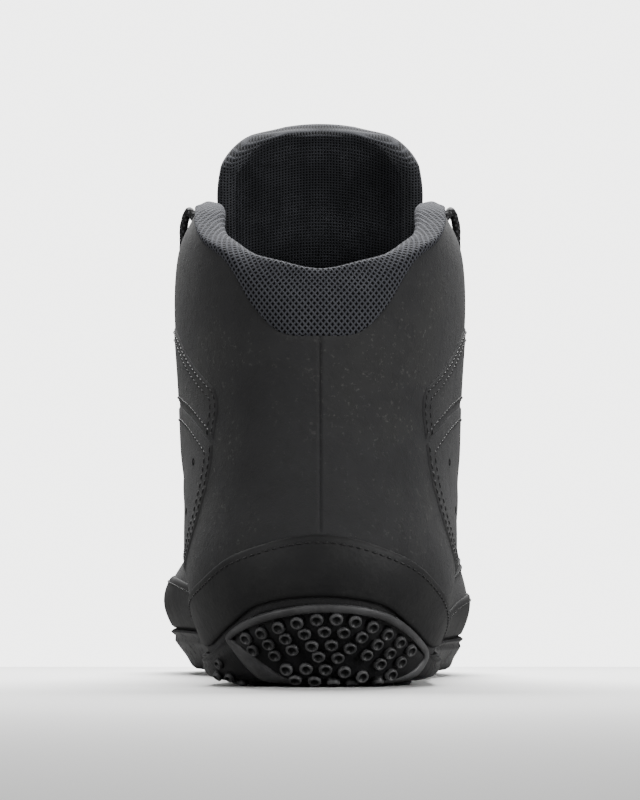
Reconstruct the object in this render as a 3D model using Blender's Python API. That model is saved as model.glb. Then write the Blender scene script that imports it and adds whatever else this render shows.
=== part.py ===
"""Wrestling shoe for a right foot: rubber cup sole, hollow upper, padded collar and tongue.

Run with: blender --background --python part.py
The toe points along +Y and the outer side of the foot is +X. Sizes below are millimetres.
"""

import math

import bmesh
import bpy
import numpy as np
from mathutils import Vector
from mathutils.bvhtree import BVHTree

MM = 0.001

# Driving sizes
LENGTH = 285.0            # heel's back to the toe guard's front
HEEL_WIDTH = 78.0         # upper across the heel
BALL_WIDTH = 105.0        # upper across the ball
SHAFT_WIDTH = 85.0        # upper across the ankle
SHAFT_HEIGHT = 147.0      # floor to the peaks beside the tongue
TONGUE_RISE = 31.0        # tongue's top above the peaks
BULGE_HEIGHT = 28.0       # floor to the widest line of the upper
FLOOR_HEIGHT = 6.5        # ground to the sole's inner floor, under the heel

# Walls and fits
FIT = 0.3                 # gap between pieces that meet
UPPER_WALL = 2.0
OVERLAY_WALL = 1.1
OVERLAY_LIFT = 0.5
INSOLE_THICKNESS = 3.0
INSOLE_PLAY = 0.8
RIM_WALL = 2.0            # sole's side wall at its top edge
SIDE_WALL = 2.7           # the same wall half way down
CORNER_WALL = 3.2         # the same wall at the floor
COLLAR_PAD = 7.5
COLLAR_DEPTH = 24.0       # how far the collar's lining reaches down inside
TONGUE_BASE = 3.5
TONGUE_PAD = 7.0
TONGUE_HALF_WIDTH = 33.0
LACE_RADIUS = 1.3
LACE_SIDES = 5
LACE_UP = (0.0, 0.5, 0.87)        # way that the throat faces, to turn the lace's sections from
TONGUE_FIRST = 10.2       # rib at which the tongue starts, under the toe end of the throat
TONGUE_STEPS = 10

# Shape of the shaft and the ground line
SHAFT_SWELL = 2.4
SWELL_HEIGHT = 118.0
SWELL_SPREAD = 24.0
GROUND_INSET = 3.2
ARCH_RISE = 3.0
TOE_SPRING = 7.0
LUG_HEIGHT = 1.5
LUG_LEAST = 0.5           # a lug with less room than this above the ground is left out
LUG_RADIUS = 1.9
LUG_PITCH = 5.6
UNDER_LUG_RADIUS = 3.4
UNDER_LUG_PITCH = 10.4
LUG_SUNK = 0.9
LUG_SIDES = 6
TIP_CLEARANCE = 0.1       # lug tips stay this far above the pads' plane
POD_MARGIN = 2.6          # from a pod's edge in to the nearest lug's axis
RIM_RADIUS = 1.3
RIM_SIDES = 6
RIM_STEPS = 20
RIM_BLUNTNESS = 1.6       # 1 is an ellipse, 2 a lens with sharp ends
PADS = ((0.0, 52.0, 11.0), (-1.0, 190.0, 15.0))      # flat pads: x, y, radius; heel, then ball
PAD_SIDES = 16
PAD_CLEARANCE = 4.6       # from a pad's edge to the nearest lug's axis

# The pod that wraps up the heel's back is a lens. It is laid out on a plane that leans back at
# HEEL_LEAN, so its rows stay evenly spaced over the round of the heel.
HEEL_LEAN = math.radians(45.0)
LENS_CENTRE = (2.5, -4.5)         # across, and up the plane from the floor line below the heel
LENS_HALF_LENGTH = 27.0
LENS_UPPER = 17.5
LENS_LOWER = 14.0
LENS_TILT = math.radians(-9.0)
PLANE_SETBACK = 60.0

# Pods of lugs under the sole. Columns: centre across, centre along, half width, half length.
UNDER_PODS = (
    (18.5, 62.0, 7.5, 19.0),
    (-17.5, 62.0, 7.5, 19.0),
    (26.0, 184.0, 9.5, 26.0),
    (-28.0, 190.0, 9.5, 27.0),
    (-4.0, 224.0, 22.0, 12.0),
)

# Places of the eyelets. Columns: rib, height as a share of SHAFT_HEIGHT, rib whose throat edge lies
# beside it. The top two carry the lace's outside run.
EYELETS = (
    (3.82, 0.970, 4.30),
    (4.12, 0.895, 4.75),
    (4.75, 0.775, 5.30),
    (5.55, 0.655, 6.05),
    (6.55, 0.560, 7.00),
    (7.60, 0.498, 7.95),
    (8.70, 0.446, 8.95),
)
# Route of a crossing over the throat. Columns: share of the way, share of the throat's half angle,
# millimetres that it bows out there.
CROSSING = (
    (0.18, 1.06, 1.5),
    (0.34, 0.50, 0.6),
    (0.50, 0.00, 0.4),
    (0.66, -0.50, 0.6),
    (0.82, -1.06, 1.5),
)

AROUND = 64               # columns round the shoe
MEDIAL = -1
LATERAL = 1

# Each line of the last runs round the shoe through twelve ribs, from the back to the toe's tip.
# Columns: share of LENGTH, width that the row follows, lateral share, medial share, height share.
HEEL = HEEL_WIDTH
BALL = BALL_WIDTH
SHAFT = SHAFT_WIDTH
FEATHER_LINE = (
    (0.065, HEEL, 0.000, 0.000, 1.00),
    (0.092, HEEL, 0.290, 0.282, 1.00),
    (0.158, HEEL, 0.410, 0.400, 1.00),
    (0.255, HEEL, 0.415, 0.375, 1.05),
    (0.350, HEEL, 0.420, 0.330, 1.15),
    (0.440, HEEL, 0.435, 0.325, 1.15),
    (0.532, BALL, 0.352, 0.270, 1.00),
    (0.632, BALL, 0.395, 0.345, 0.87),
    (0.730, BALL, 0.385, 0.400, 0.87),
    (0.828, BALL, 0.325, 0.395, 1.05),
    (0.914, BALL, 0.200, 0.315, 1.45),
    (0.954, BALL, -0.080, 0.080, 1.80),
)
WIDEST_LINE = (
    (0.009, HEEL, 0.000, 0.000, 1.04),
    (0.051, HEEL, 0.354, 0.350, 1.04),
    (0.151, HEEL, 0.500, 0.495, 1.00),
    (0.255, HEEL, 0.505, 0.487, 1.00),
    (0.350, HEEL, 0.515, 0.462, 1.00),
    (0.442, HEEL, 0.535, 0.455, 1.00),
    (0.536, BALL, 0.430, 0.365, 0.97),
    (0.638, BALL, 0.476, 0.445, 0.90),
    (0.738, BALL, 0.462, 0.508, 0.90),
    (0.842, BALL, 0.390, 0.496, 0.91),
    (0.934, BALL, 0.235, 0.380, 0.94),
    (0.991, BALL, -0.105, 0.105, 0.98),
)
SHOULDER_LINE = (
    (0.014, SHAFT, 0.000, 0.000, 0.340),
    (0.056, SHAFT, 0.320, 0.320, 0.340),
    (0.151, SHAFT, 0.455, 0.455, 0.350),
    (0.250, SHAFT, 0.490, 0.485, 0.360),
    (0.338, SHAFT, 0.505, 0.490, 0.370),
    (0.422, SHAFT, 0.505, 0.482, 0.370),
    (0.510, BALL, 0.408, 0.392, 0.355),
    (0.605, BALL, 0.392, 0.405, 0.322),
    (0.700, BALL, 0.352, 0.412, 0.297),
    (0.792, BALL, 0.290, 0.390, 0.293),
    (0.878, BALL, 0.172, 0.290, 0.296),
    (0.920, BALL, -0.095, 0.095, 0.292),
)
ANKLE_LINE = (
    (0.033, SHAFT, 0.000, 0.000, 0.560),
    (0.070, SHAFT, 0.302, 0.302, 0.570),
    (0.158, SHAFT, 0.450, 0.450, 0.585),
    (0.243, SHAFT, 0.498, 0.498, 0.610),
    (0.318, SHAFT, 0.495, 0.495, 0.650),
    (0.387, SHAFT, 0.450, 0.450, 0.620),
    (0.460, BALL, 0.325, 0.335, 0.540),
    (0.540, BALL, 0.295, 0.320, 0.470),
    (0.612, BALL, 0.262, 0.305, 0.418),
    (0.692, BALL, 0.220, 0.285, 0.380),
    (0.765, BALL, 0.130, 0.210, 0.363),
    (0.800, BALL, -0.076, 0.076, 0.358),
)
TOP_LINE = (
    (0.018, SHAFT, 0.000, 0.000, 1.020),
    (0.054, SHAFT, 0.288, 0.288, 1.020),
    (0.138, SHAFT, 0.440, 0.440, 1.020),
    (0.230, SHAFT, 0.485, 0.485, 1.020),
    (0.309, SHAFT, 0.453, 0.453, 0.995),
    (0.356, SHAFT, 0.365, 0.365, 0.840),
    (0.410, BALL, 0.240, 0.240, 0.685),
    (0.485, BALL, 0.208, 0.218, 0.575),
    (0.556, BALL, 0.190, 0.200, 0.507),
    (0.625, BALL, 0.170, 0.185, 0.459),
    (0.680, BALL, 0.100, 0.130, 0.430),
    (0.702, BALL, -0.030, 0.030, 0.418),
)
LINE_PLACES = (0.0, 0.18, 0.38, 0.66, 1.0)
LINES = (
    (FEATHER_LINE, FLOOR_HEIGHT),
    (WIDEST_LINE, BULGE_HEIGHT),
    (SHOULDER_LINE, SHAFT_HEIGHT),
    (ANKLE_LINE, SHAFT_HEIGHT),
    (TOP_LINE, SHAFT_HEIGHT),
)
TIP = len(TOP_LINE) - 1
PEAK_RIB = 4.0

# Heights by rib. Columns: rib, lateral height, medial height.
LEATHER_EDGE = (          # shares of SHAFT_HEIGHT
    (0.0, 0.682, 0.682),
    (0.4, 0.690, 0.690),
    (0.7, 0.745, 0.745),
    (0.9, 0.803, 0.803),
    (1.1, 0.845, 0.845),
    (1.5, 0.890, 0.890),
    (1.8, 0.930, 0.930),
    (2.1, 0.968, 0.968),
    (2.5, 0.988, 0.988),
    (3.2, 0.998, 0.998),
    (4.0, 1.010, 1.010),
)
COLLAR_RIM = (            # shares of SHAFT_HEIGHT
    (0.0, 0.807, 0.807),
    (0.7, 0.840, 0.840),
    (1.2, 0.884, 0.884),
    (1.5, 0.912, 0.912),
    (1.8, 0.950, 0.950),
    (2.1, 0.985, 0.985),
    (2.5, 1.004, 1.004),
    (3.2, 1.012, 1.012),
    (4.0, 1.018, 1.018),
)
SOLE_RIM = (              # shares of BULGE_HEIGHT
    (0.0, 0.845, 0.845),
    (0.6, 0.760, 0.760),
    (1.0, 0.540, 0.560),
    (1.5, 0.350, 0.370),
    (2.0, 0.325, 0.335),
    (4.0, 0.390, 0.420),
    (6.0, 0.440, 0.500),
    (7.0, 0.465, 0.545),
    (9.0, 0.540, 0.590),
    (11.0, 0.790, 0.790),
)
COUNTER_TOP = (           # shares of BULGE_HEIGHT
    (0.0, 1.550, 1.550),
    (0.8, 1.340, 1.370),
    (1.35, 1.060, 1.120),
    (2.0, 0.760, 0.920),
    (2.6, 0.520, 0.660),
    (3.0, 0.480, 0.560),
)
RAND_TOP = (              # shares of BULGE_HEIGHT
    (5.0, 0.560, 0.620),
    (6.0, 0.860, 0.980),
    (7.0, 0.985, 1.150),
    (8.0, 1.020, 1.210),
    (9.0, 1.090, 1.240),
    (10.0, 1.220, 1.300),
    (11.0, 1.370, 1.370),
)
SADDLE_TOP = (            # shares of SHAFT_HEIGHT
    (1.5, 0.595, 0.595),
    (2.0, 0.640, 0.640),
    (3.0, 0.714, 0.714),
    (4.0, 0.730, 0.730),
    (5.0, 0.630, 0.630),
)
SADDLE_FOOT = (           # shares of SHAFT_HEIGHT
    (1.5, 0.515, 0.515),
    (2.0, 0.530, 0.530),
    (3.0, 0.570, 0.570),
    (4.0, 0.580, 0.580),
    (5.0, 0.560, 0.560),
)
QUARTER_TOP = (           # shares of SHAFT_HEIGHT
    (1.6, 0.498, 0.498),
    (2.0, 0.513, 0.513),
    (3.0, 0.553, 0.553),
    (4.0, 0.563, 0.563),
    (5.0, 0.543, 0.543),
    (6.0, 0.470, 0.470),
    (7.0, 0.400, 0.400),
)
QUARTER_FOOT = (          # shares of SHAFT_HEIGHT
    (1.6, 0.440, 0.440),
    (2.0, 0.330, 0.330),
    (2.5, 0.262, 0.262),
    (3.5, 0.225, 0.225),
    (5.0, 0.215, 0.215),
    (7.0, 0.250, 0.270),
)
EYESTAY_FOOT = (          # shares of SHAFT_HEIGHT
    (3.4, 0.925, 0.925),
    (4.0, 0.765, 0.765),
    (4.5, 0.705, 0.705),
    (5.0, 0.655, 0.655),
    (6.0, 0.535, 0.535),
    (7.0, 0.485, 0.485),
    (8.0, 0.443, 0.446),
    (9.0, 0.408, 0.410),
    (10.0, 0.388, 0.388),
    (11.0, 0.378, 0.378),
)
TONGUE_MARGIN = (         # millimetres past the throat's edge; less than nothing is inside it
    (4.0, -8.0, -8.0),
    (4.8, -3.0, -3.0),
    (5.6, 4.0, 4.0),
    (7.0, 6.0, 6.0),
    (10.2, 6.0, 6.0),
)
# The tongue's free end above the throat. Columns: share of the free end's height, share of
# TONGUE_HALF_WIDTH, millimetres forward, share of TONGUE_PAD.
TONGUE_TOP_ROWS = (
    (0.14, 0.96, -1.7, 1.00),
    (0.40, 0.98, -3.2, 1.00),
    (0.63, 0.92, -3.3, 1.00),
    (0.80, 0.80, -2.7, 0.95),
    (0.92, 0.61, -1.9, 0.80),
    (1.00, 0.34, -1.2, 0.42),
)

COLOURS = {
    "outsole": (0.020, 0.020, 0.021, 0.55),
    "upper": (0.042, 0.042, 0.043, 0.80),
    "collar": (0.030, 0.031, 0.033, 0.85),
    "tongue": (0.030, 0.031, 0.033, 0.85),
    "insole": (0.012, 0.012, 0.013, 0.90),
    "heel_counter": (0.026, 0.026, 0.027, 0.62),
    "toe_rand": (0.026, 0.026, 0.027, 0.62),
    "eyestay": (0.040, 0.040, 0.041, 0.80),
    "saddle_outer": (0.040, 0.040, 0.041, 0.78),
    "saddle_inner": (0.040, 0.040, 0.041, 0.78),
    "quarter_outer": (0.038, 0.038, 0.039, 0.78),
    "quarter_inner": (0.038, 0.038, 0.039, 0.78),
    "lace": (0.018, 0.018, 0.019, 0.88),
}


def clear_scene():
    for obj in list(bpy.data.objects):
        bpy.data.objects.remove(obj, do_unlink=True)


def collection(name):
    made = bpy.data.collections.new(name)
    bpy.context.scene.collection.children.link(made)
    return made


def material(name, red, green, blue, roughness):
    made = bpy.data.materials.new(name)
    made.use_nodes = True
    shader = made.node_tree.nodes["Principled BSDF"]
    shader.inputs["Base Color"].default_value = (red, green, blue, 1.0)
    shader.inputs["Roughness"].default_value = roughness
    shader.inputs["Metallic"].default_value = 0.0
    return made


def line_points(line, height):
    """The closed ring of points of one line: lateral ribs to the tip, then medial ribs back."""
    lateral = [(w * out, y * LENGTH, z * height) for y, w, out, _, z in line]
    medial = [(-w * inn, y * LENGTH, z * height) for y, w, _, inn, z in line]
    return np.array(lateral + medial[-2:0:-1])


def ring_bends(ring):
    """Second derivatives of the smooth periodic cubic through a ring of points."""
    count = len(ring)
    system = np.zeros((count, count))
    for i in range(count):
        system[i, i] = 4.0
        system[i, (i - 1) % count] = 1.0
        system[i, (i + 1) % count] = 1.0
    change = np.roll(ring, -1, axis=0) - 2.0 * ring + np.roll(ring, 1, axis=0)
    return np.linalg.solve(system, 6.0 * change)


def open_bends(places):
    """Matrix from values at the places to the natural cubic's second derivatives there."""
    count = len(places)
    system = np.eye(count)
    source = np.zeros((count, count))
    for i in range(1, count - 1):
        before = places[i] - places[i - 1]
        after = places[i + 1] - places[i]
        system[i, i - 1] = before
        system[i, i] = 2.0 * (before + after)
        system[i, i + 1] = after
        source[i, i - 1] = 6.0 / before
        source[i, i] = -6.0 / before - 6.0 / after
        source[i, i + 1] = 6.0 / after
    return np.linalg.solve(system, source)


RINGS = [line_points(line, height) for line, height in LINES]
RING_BENDS = [ring_bends(ring) for ring in RINGS]
RIB_BENDS = open_bends(LINE_PLACES)


def on_ring(number, rib):
    """Point of a line at a rib place, from -TIP to TIP; places below zero are medial."""
    ring = RINGS[number]
    bends = RING_BENDS[number]
    count = len(ring)
    place = rib % count
    low = int(math.floor(place)) % count
    high = (low + 1) % count
    t = place - math.floor(place)
    s = 1.0 - t
    point = s * ring[low] + t * ring[high]
    return point + ((s ** 3 - s) * bends[low] + (t ** 3 - t) * bends[high]) / 6.0


def skin(rib, rise):
    """Outer skin of the upper. Rise goes from 0 at the feather line to 1 at the top line."""
    values = np.array([on_ring(number, rib) for number in range(len(RINGS))])
    bends = RIB_BENDS @ values
    last = len(LINE_PLACES) - 2
    low = min(last, max(0, int(np.searchsorted(LINE_PLACES, rise)) - 1))
    span = LINE_PLACES[low + 1] - LINE_PLACES[low]
    t = (rise - LINE_PLACES[low]) / span
    s = 1.0 - t
    point = s * values[low] + t * values[low + 1]
    bend = (s ** 3 - s) * bends[low] + (t ** 3 - t) * bends[low + 1]
    point = point + bend * span * span / 6.0
    swell = SHAFT_SWELL * math.exp(-((point[2] - SWELL_HEIGHT) / SWELL_SPREAD) ** 2)
    point[0] += swell * point[0] / (0.5 * SHAFT_WIDTH)
    return point


def unit(vector):
    return vector / np.linalg.norm(vector)


def slopes(rib, rise):
    """Directions along the shoe and up the rib."""
    step = 0.01
    along = (skin(rib + step, rise) - skin(rib - step, rise)) / (2.0 * step)
    low = max(0.0, rise - step)
    high = min(1.0, rise + step)
    upward = (skin(rib, high) - skin(rib, low)) / (high - low)
    return along, upward


def normal(rib, rise):
    along, upward = slopes(rib, rise)
    return unit(np.cross(along, upward))


def off(rib, rise, lift):
    """Point at a distance outside the skin."""
    return skin(rib, rise) + lift * normal(rib, rise)


def rise_at(rib, height):
    """Rise at which a rib reaches a height."""
    low = 0.0
    high = 1.0
    for _ in range(26):
        middle = 0.5 * (low + high)
        if skin(rib, middle)[2] < height:
            low = middle
        else:
            high = middle
    return 0.5 * (low + high)


def read(table, rib, scale=1.0):
    """Fair curve through a table by rib, lateral or medial by the rib's sign."""
    places = [row[0] for row in table]
    column = 1 if rib >= 0 else 2
    values = [row[column] for row in table]
    place = min(max(abs(rib), places[0]), places[-1])
    low = min(len(places) - 2, max(0, int(np.searchsorted(places, place)) - 1))
    span = places[low + 1] - places[low]
    t = (place - places[low]) / span
    tangents = []
    for i in (low, low + 1):
        if i in (0, len(places) - 1):
            inner = (values[1] - values[0]) / (places[1] - places[0])
            outer = (values[-1] - values[-2]) / (places[-1] - places[-2])
            tangent = 0.0 if places[i] in (0.0, float(TIP)) else (inner if i == 0 else outer)
        else:
            tangent = (values[i + 1] - values[i - 1]) / (places[i + 1] - places[i - 1])
        tangents.append(tangent * span)
    bend = (2 * t ** 3 - 3 * t ** 2 + 1) * values[low] + (3 * t ** 2 - 2 * t ** 3) * values[low + 1]
    bend += (t ** 3 - 2 * t ** 2 + t) * tangents[0] + (t ** 3 - t ** 2) * tangents[1]
    return bend * scale


def edge_rise(rib):
    """Rise of the leather's cut edge: along the collar, and full at the throat."""
    if abs(rib) >= PEAK_RIB:
        return 1.0
    return rise_at(rib, read(LEATHER_EDGE, rib, SHAFT_HEIGHT))


COLUMN = 2.0 * TIP / AROUND


def columns_round():
    """Rib places round the whole shoe, lateral first, tip in the middle."""
    return [COLUMN * i for i in range(AROUND)]


def columns_between(first, last):
    """The shoe's own columns between two rib places, with those places as the ends."""
    low = min(first, last)
    high = max(first, last)
    inside = [COLUMN * i for i in range(-AROUND, AROUND + 1)]
    inside = [rib for rib in inside if low + 0.25 * COLUMN < rib < high - 0.25 * COLUMN]
    ribs = [low] + inside + [high]
    return ribs if first < last else ribs[::-1]


def signed(rib):
    """A place past the tip read as a medial one."""
    return rib if rib <= TIP else rib - 2.0 * TIP


def new_object(name, verts, faces, home):
    mesh = bpy.data.meshes.new(name)
    build = bmesh.new()
    made = [build.verts.new(Vector(point) * MM) for point in verts]
    for face in faces:
        build.faces.new([made[i] for i in face])
    bmesh.ops.recalc_face_normals(build, faces=build.faces)
    build.to_mesh(mesh)
    build.free()
    obj = bpy.data.objects.new(name, mesh)
    home.objects.link(obj)
    return obj


def finish(obj, smooth_angle=40.0):
    obj.data.materials.clear()
    obj.data.materials.append(material(obj.name, *COLOURS[obj.name]))
    obj.data.shade_smooth()
    obj.data.set_sharp_from_angle(angle=math.radians(smooth_angle))
    return obj


def tube_solid(name, sections, closed, home):
    """Solid through like polygons; the run of sections closes on itself or has end caps."""
    verts = [point for section in sections for point in section]
    size = len(sections[0])
    faces = []
    count = len(sections)
    for i in range(count if closed else count - 1):
        here = i * size
        after = ((i + 1) % count) * size
        for k in range(size):
            n = (k + 1) % size
            faces.append((here + k, here + n, after + n, after + k))
    if not closed:
        faces.append(tuple(range(size)))
        faces.append(tuple((count - 1) * size + k for k in range(size)))
    return new_object(name, verts, faces, home)


def slab(name, outer, inner, home):
    """Solid between two like grids of points, open sheets joined round their borders."""
    rows = len(outer)
    cols = len(outer[0])
    verts = [p for row in outer for p in row] + [p for row in inner for p in row]
    shift = rows * cols
    faces = []
    for i in range(rows - 1):
        for k in range(cols - 1):
            a = i * cols + k
            quad = (a, a + 1, a + cols + 1, a + cols)
            faces.append(quad)
            faces.append(tuple(shift + q for q in reversed(quad)))
    border = [k for k in range(cols)]
    border += [i * cols + cols - 1 for i in range(1, rows)]
    border += [(rows - 1) * cols + k for k in range(cols - 2, -1, -1)]
    border += [i * cols for i in range(rows - 2, 0, -1)]
    for a, b in zip(border, border[1:] + border[:1]):
        faces.append((a, b, shift + b, shift + a))
    return new_object(name, verts, faces, home)


def make_upper(home):
    """Hollow shell: outer skin, inner skin, feather edge below and cut edge above."""
    shares = (0.0, 0.05, 0.11, 0.18, 0.27, 0.37, 0.48, 0.60, 0.72, 0.84, 0.93, 1.0)
    lining = (1.0, 0.93, 0.84, 0.72, 0.60, 0.37, 0.18, 0.0)
    sections = []
    for column in columns_round():
        rib = signed(column)
        top = edge_rise(rib)
        outside = [skin(rib, share * top) for share in shares]
        inside = [off(rib, share * top, -UPPER_WALL) for share in lining]
        sections.append(outside + inside)
    return finish(tube_solid("upper", sections, True, home))


def sole_rim(rib):
    return read(SOLE_RIM, rib, BULGE_HEIGHT)


def ground_height(point):
    """Height of the sole's underside: flat at heel and ball, raised at arch and toe."""
    share = point[1] / LENGTH
    arch = math.exp(-((share - 0.42) / 0.075) ** 2)
    arch *= 1.0 if point[0] < 0 else 0.6
    spring = max(0.0, (share - 0.77) / 0.23) ** 2
    return LUG_HEIGHT + ARCH_RISE * arch + TOE_SPRING * spring


def sole_outer(rib):
    """Outside of the sole at a rib, from the top edge down to the ground edge."""
    top = rise_at(rib, sole_rim(rib))
    corner = off(rib, 0.0, FIT + CORNER_WALL)
    feather = skin(rib, 0.0)
    out = normal(rib, 0.0)
    flat = unit(np.array((out[0], out[1], 0.0)))
    ground = feather - flat * GROUND_INSET
    ground[2] = ground_height(ground)
    middle = 0.5 * (corner + ground) + flat * 1.2
    middle[2] = 0.42 * corner[2] + 0.58 * ground[2] - 0.35
    return [
        off(rib, top, FIT + RIM_WALL),
        off(rib, 0.5 * top, FIT + SIDE_WALL),
        corner,
        middle,
        ground,
    ]


def sole_inner(rib):
    """Inside of the sole at a rib, from the floor's corner up to the top edge."""
    top = rise_at(rib, sole_rim(rib))
    corner = off(rib, 0.0, FIT)
    corner[2] = skin(rib, 0.0)[2] - FIT
    return [corner, off(rib, 0.5 * top, FIT), off(rib, top, FIT)]


def cap_strips(ring, backwards):
    """Faces across a closed ring of vertex numbers, in strips from side to side."""
    count = len(ring)
    half = count // 2
    faces = [(ring[0], ring[1], ring[-1]), (ring[half], ring[half + 1], ring[half - 1])]
    for k in range(1, half - 1):
        faces.append((ring[k], ring[k + 1], ring[count - k - 1], ring[count - k]))
    if backwards:
        faces = [tuple(reversed(face)) for face in faces]
    return faces


def make_sole_cup(home):
    sections = []
    for column in columns_round():
        rib = signed(column)
        sections.append(sole_inner(rib) + sole_outer(rib))
    size = len(sections[0])
    verts = [point for section in sections for point in section]
    faces = []
    for i in range(AROUND):
        here = i * size
        after = ((i + 1) % AROUND) * size
        for k in range(size - 1):
            faces.append((here + k, here + k + 1, after + k + 1, after + k))
    faces += cap_strips([i * size for i in range(AROUND)], True)
    faces += cap_strips([i * size + size - 1 for i in range(AROUND)], False)
    return new_object("outsole", verts, faces, home)


def surface_tree(obj):
    build = bmesh.new()
    build.from_mesh(obj.data)
    tree = BVHTree.FromBMesh(build)
    build.free()
    return tree


def seat(tree, start, direction):
    """Where a line meets the sole, in metres, and the way the surface faces there."""
    point, facing, _, _ = tree.ray_cast(Vector(start) * MM, Vector(direction))
    if point is None:
        past = Vector(start) + PLANE_SETBACK * Vector(direction)
        point, facing, _, _ = tree.find_nearest(past * MM)
    return point, facing


def add_prism(build, foot, axis, radius, sides, low, high):
    """Straight prism round an axis, in metres."""
    side = axis.orthogonal().normalized()
    other = axis.cross(side)
    rings = []
    for along in (low, high):
        ring = []
        for k in range(sides):
            angle = 2.0 * math.pi * k / sides
            arm = side * math.cos(angle) + other * math.sin(angle)
            ring.append(build.verts.new(foot + axis * along + arm * radius))
        rings.append(ring)
    build.faces.new(rings[0][::-1])
    build.faces.new(rings[1])
    for k in range(sides):
        n = (k + 1) % sides
        build.faces.new((rings[0][k], rings[0][n], rings[1][n], rings[1][k]))


def on_heel_plane(across, up):
    """Point of the leaning plane behind the heel, and the way from it into the sole."""
    into = (0.0, math.cos(HEEL_LEAN), math.sin(HEEL_LEAN))
    start = (
        across,
        -up * math.sin(HEEL_LEAN) - PLANE_SETBACK * into[1],
        up * math.cos(HEEL_LEAN) - PLANE_SETBACK * into[2],
    )
    return start, into


def lens_point(along, rise):
    """Place on the leaning plane of a point given along and across the tilted lens."""
    across = LENS_CENTRE[0] + along * math.cos(LENS_TILT) - rise * math.sin(LENS_TILT)
    up = LENS_CENTRE[1] + along * math.sin(LENS_TILT) + rise * math.cos(LENS_TILT)
    return across, up


def heel_lugs():
    """Start and direction of each lug in the lens, in rows that are staggered like a honeycomb."""
    row_step = LUG_PITCH * math.sqrt(0.75)
    lugs = []
    for row in range(-4, 5):
        rise = row * row_step
        for k in range(-8, 9):
            along = (k + 0.5 * (row % 2)) * LUG_PITCH
            room = 1.0 - (along / LENS_HALF_LENGTH) ** 2
            if -LENS_LOWER * room + POD_MARGIN > rise or rise > LENS_UPPER * room - POD_MARGIN:
                continue
            lugs.append(on_heel_plane(*lens_point(along, rise)))
    return lugs


def near_pad(x, y):
    return any(math.hypot(x - pad[0], y - pad[1]) < pad[2] + PAD_CLEARANCE for pad in PADS)


def under_lugs():
    """Start and direction of each lug in the pods under the sole."""
    row_step = UNDER_LUG_PITCH * math.sqrt(0.75)
    lugs = []
    for x, y, half_width, half_length in UNDER_PODS:
        for row in range(-5, 6):
            for k in range(-5, 6):
                across = (k + 0.5 * (row % 2)) * UNDER_LUG_PITCH
                along = row * row_step
                if (across / half_width) ** 2 + (along / half_length) ** 2 > 1.0:
                    continue
                if near_pad(x + across, y + along):
                    continue
                lugs.append(((x + across, y + along, -PLANE_SETBACK), (0.0, 0.0, 1.0)))
    return lugs


def make_lens_rim(tree, tools):
    """Raised rim round the lens, a thin tube half sunk in the sole."""
    points = []
    for i in range(RIM_STEPS):
        turn = 2.0 * math.pi * i / RIM_STEPS
        along = LENS_HALF_LENGTH * math.cos(turn)
        reach = LENS_UPPER if turn < math.pi else -LENS_LOWER
        rise = reach * abs(math.sin(turn)) ** RIM_BLUNTNESS
        start, into = on_heel_plane(*lens_point(along, rise))
        point, _ = seat(tree, start, into)
        points.append(np.array(point) / MM)
    sections = []
    for i, point in enumerate(points):
        forward = unit(points[(i + 1) % RIM_STEPS] - points[i - 1])
        side = unit(np.cross(forward, (0.0, math.cos(HEEL_LEAN), math.sin(HEEL_LEAN))))
        other = np.cross(side, forward)
        ring = []
        for k in range(RIM_SIDES):
            angle = 2.0 * math.pi * k / RIM_SIDES
            arm = side * math.cos(angle) + other * math.sin(angle)
            ring.append(point + RIM_RADIUS * arm)
        sections.append(ring)
    return tube_solid("lens_rim", sections, True, tools)


def hide_cutter(obj):
    obj.hide_render = True
    obj.display_type = "WIRE"


def add_union(obj, other, solver="EXACT"):
    hide_cutter(other)
    joined = obj.modifiers.new(other.name, "BOOLEAN")
    joined.operation = "UNION"
    joined.solver = solver
    joined.object = other


def make_sole(home, tools):
    """The cup with its lugs, the heel pod's rim and the two flat pads joined on."""
    cup = make_sole_cup(home)
    tree = surface_tree(cup)
    build = bmesh.new()
    sizes = [(LUG_RADIUS, place) for place in heel_lugs()]
    sizes += [(UNDER_LUG_RADIUS, place) for place in under_lugs()]
    for radius, (start, into) in sizes:
        point, facing = seat(tree, start, into)
        if into[1] == 0.0:
            facing = Vector((0.0, 0.0, -1.0))
        droop = radius * math.sqrt(max(0.0, 1.0 - facing.z ** 2))
        room = point.z / MM - droop - TIP_CLEARANCE
        reach = LUG_HEIGHT
        if facing.z < 0.0:
            reach = min(reach, room / -facing.z)
        if reach < LUG_LEAST:
            continue
        add_prism(build, point, facing, radius * MM, LUG_SIDES, -LUG_SUNK * MM, reach * MM)
    for x, y, radius in PADS:
        foot = Vector((x, y, 0.0)) * MM
        reach = (LUG_HEIGHT + LUG_SUNK) * MM
        add_prism(build, foot, Vector((0.0, 0.0, 1.0)), radius * MM, PAD_SIDES, 0.0, reach)
    mesh = bpy.data.meshes.new("lugs")
    build.to_mesh(mesh)
    build.free()
    lugs = bpy.data.objects.new("lugs", mesh)
    tools.objects.link(lugs)
    add_union(cup, make_lens_rim(tree, tools), "MANIFOLD")
    add_union(cup, lugs, "MANIFOLD")
    return finish(cup)


def strip_grid(first, last, foot, top, rows, lift):
    """Grid over a band of the skin: columns by rib, rows between two heights."""
    grid = []
    for k in range(rows + 1):
        row = []
        for column in columns_between(first, last):
            rib = signed(column)
            low = foot(rib)
            high = max(top(rib), low + 1.5)
            rise = rise_at(rib, low + (high - low) * k / rows)
            row.append(off(rib, rise, lift))
        grid.append(row)
    return grid


def overlay(name, first, last, foot, top, rows, home):
    inner = strip_grid(first, last, foot, top, rows, OVERLAY_LIFT)
    outer = strip_grid(first, last, foot, top, rows, OVERLAY_LIFT + OVERLAY_WALL)
    return finish(slab(name, outer, inner, home))


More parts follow.
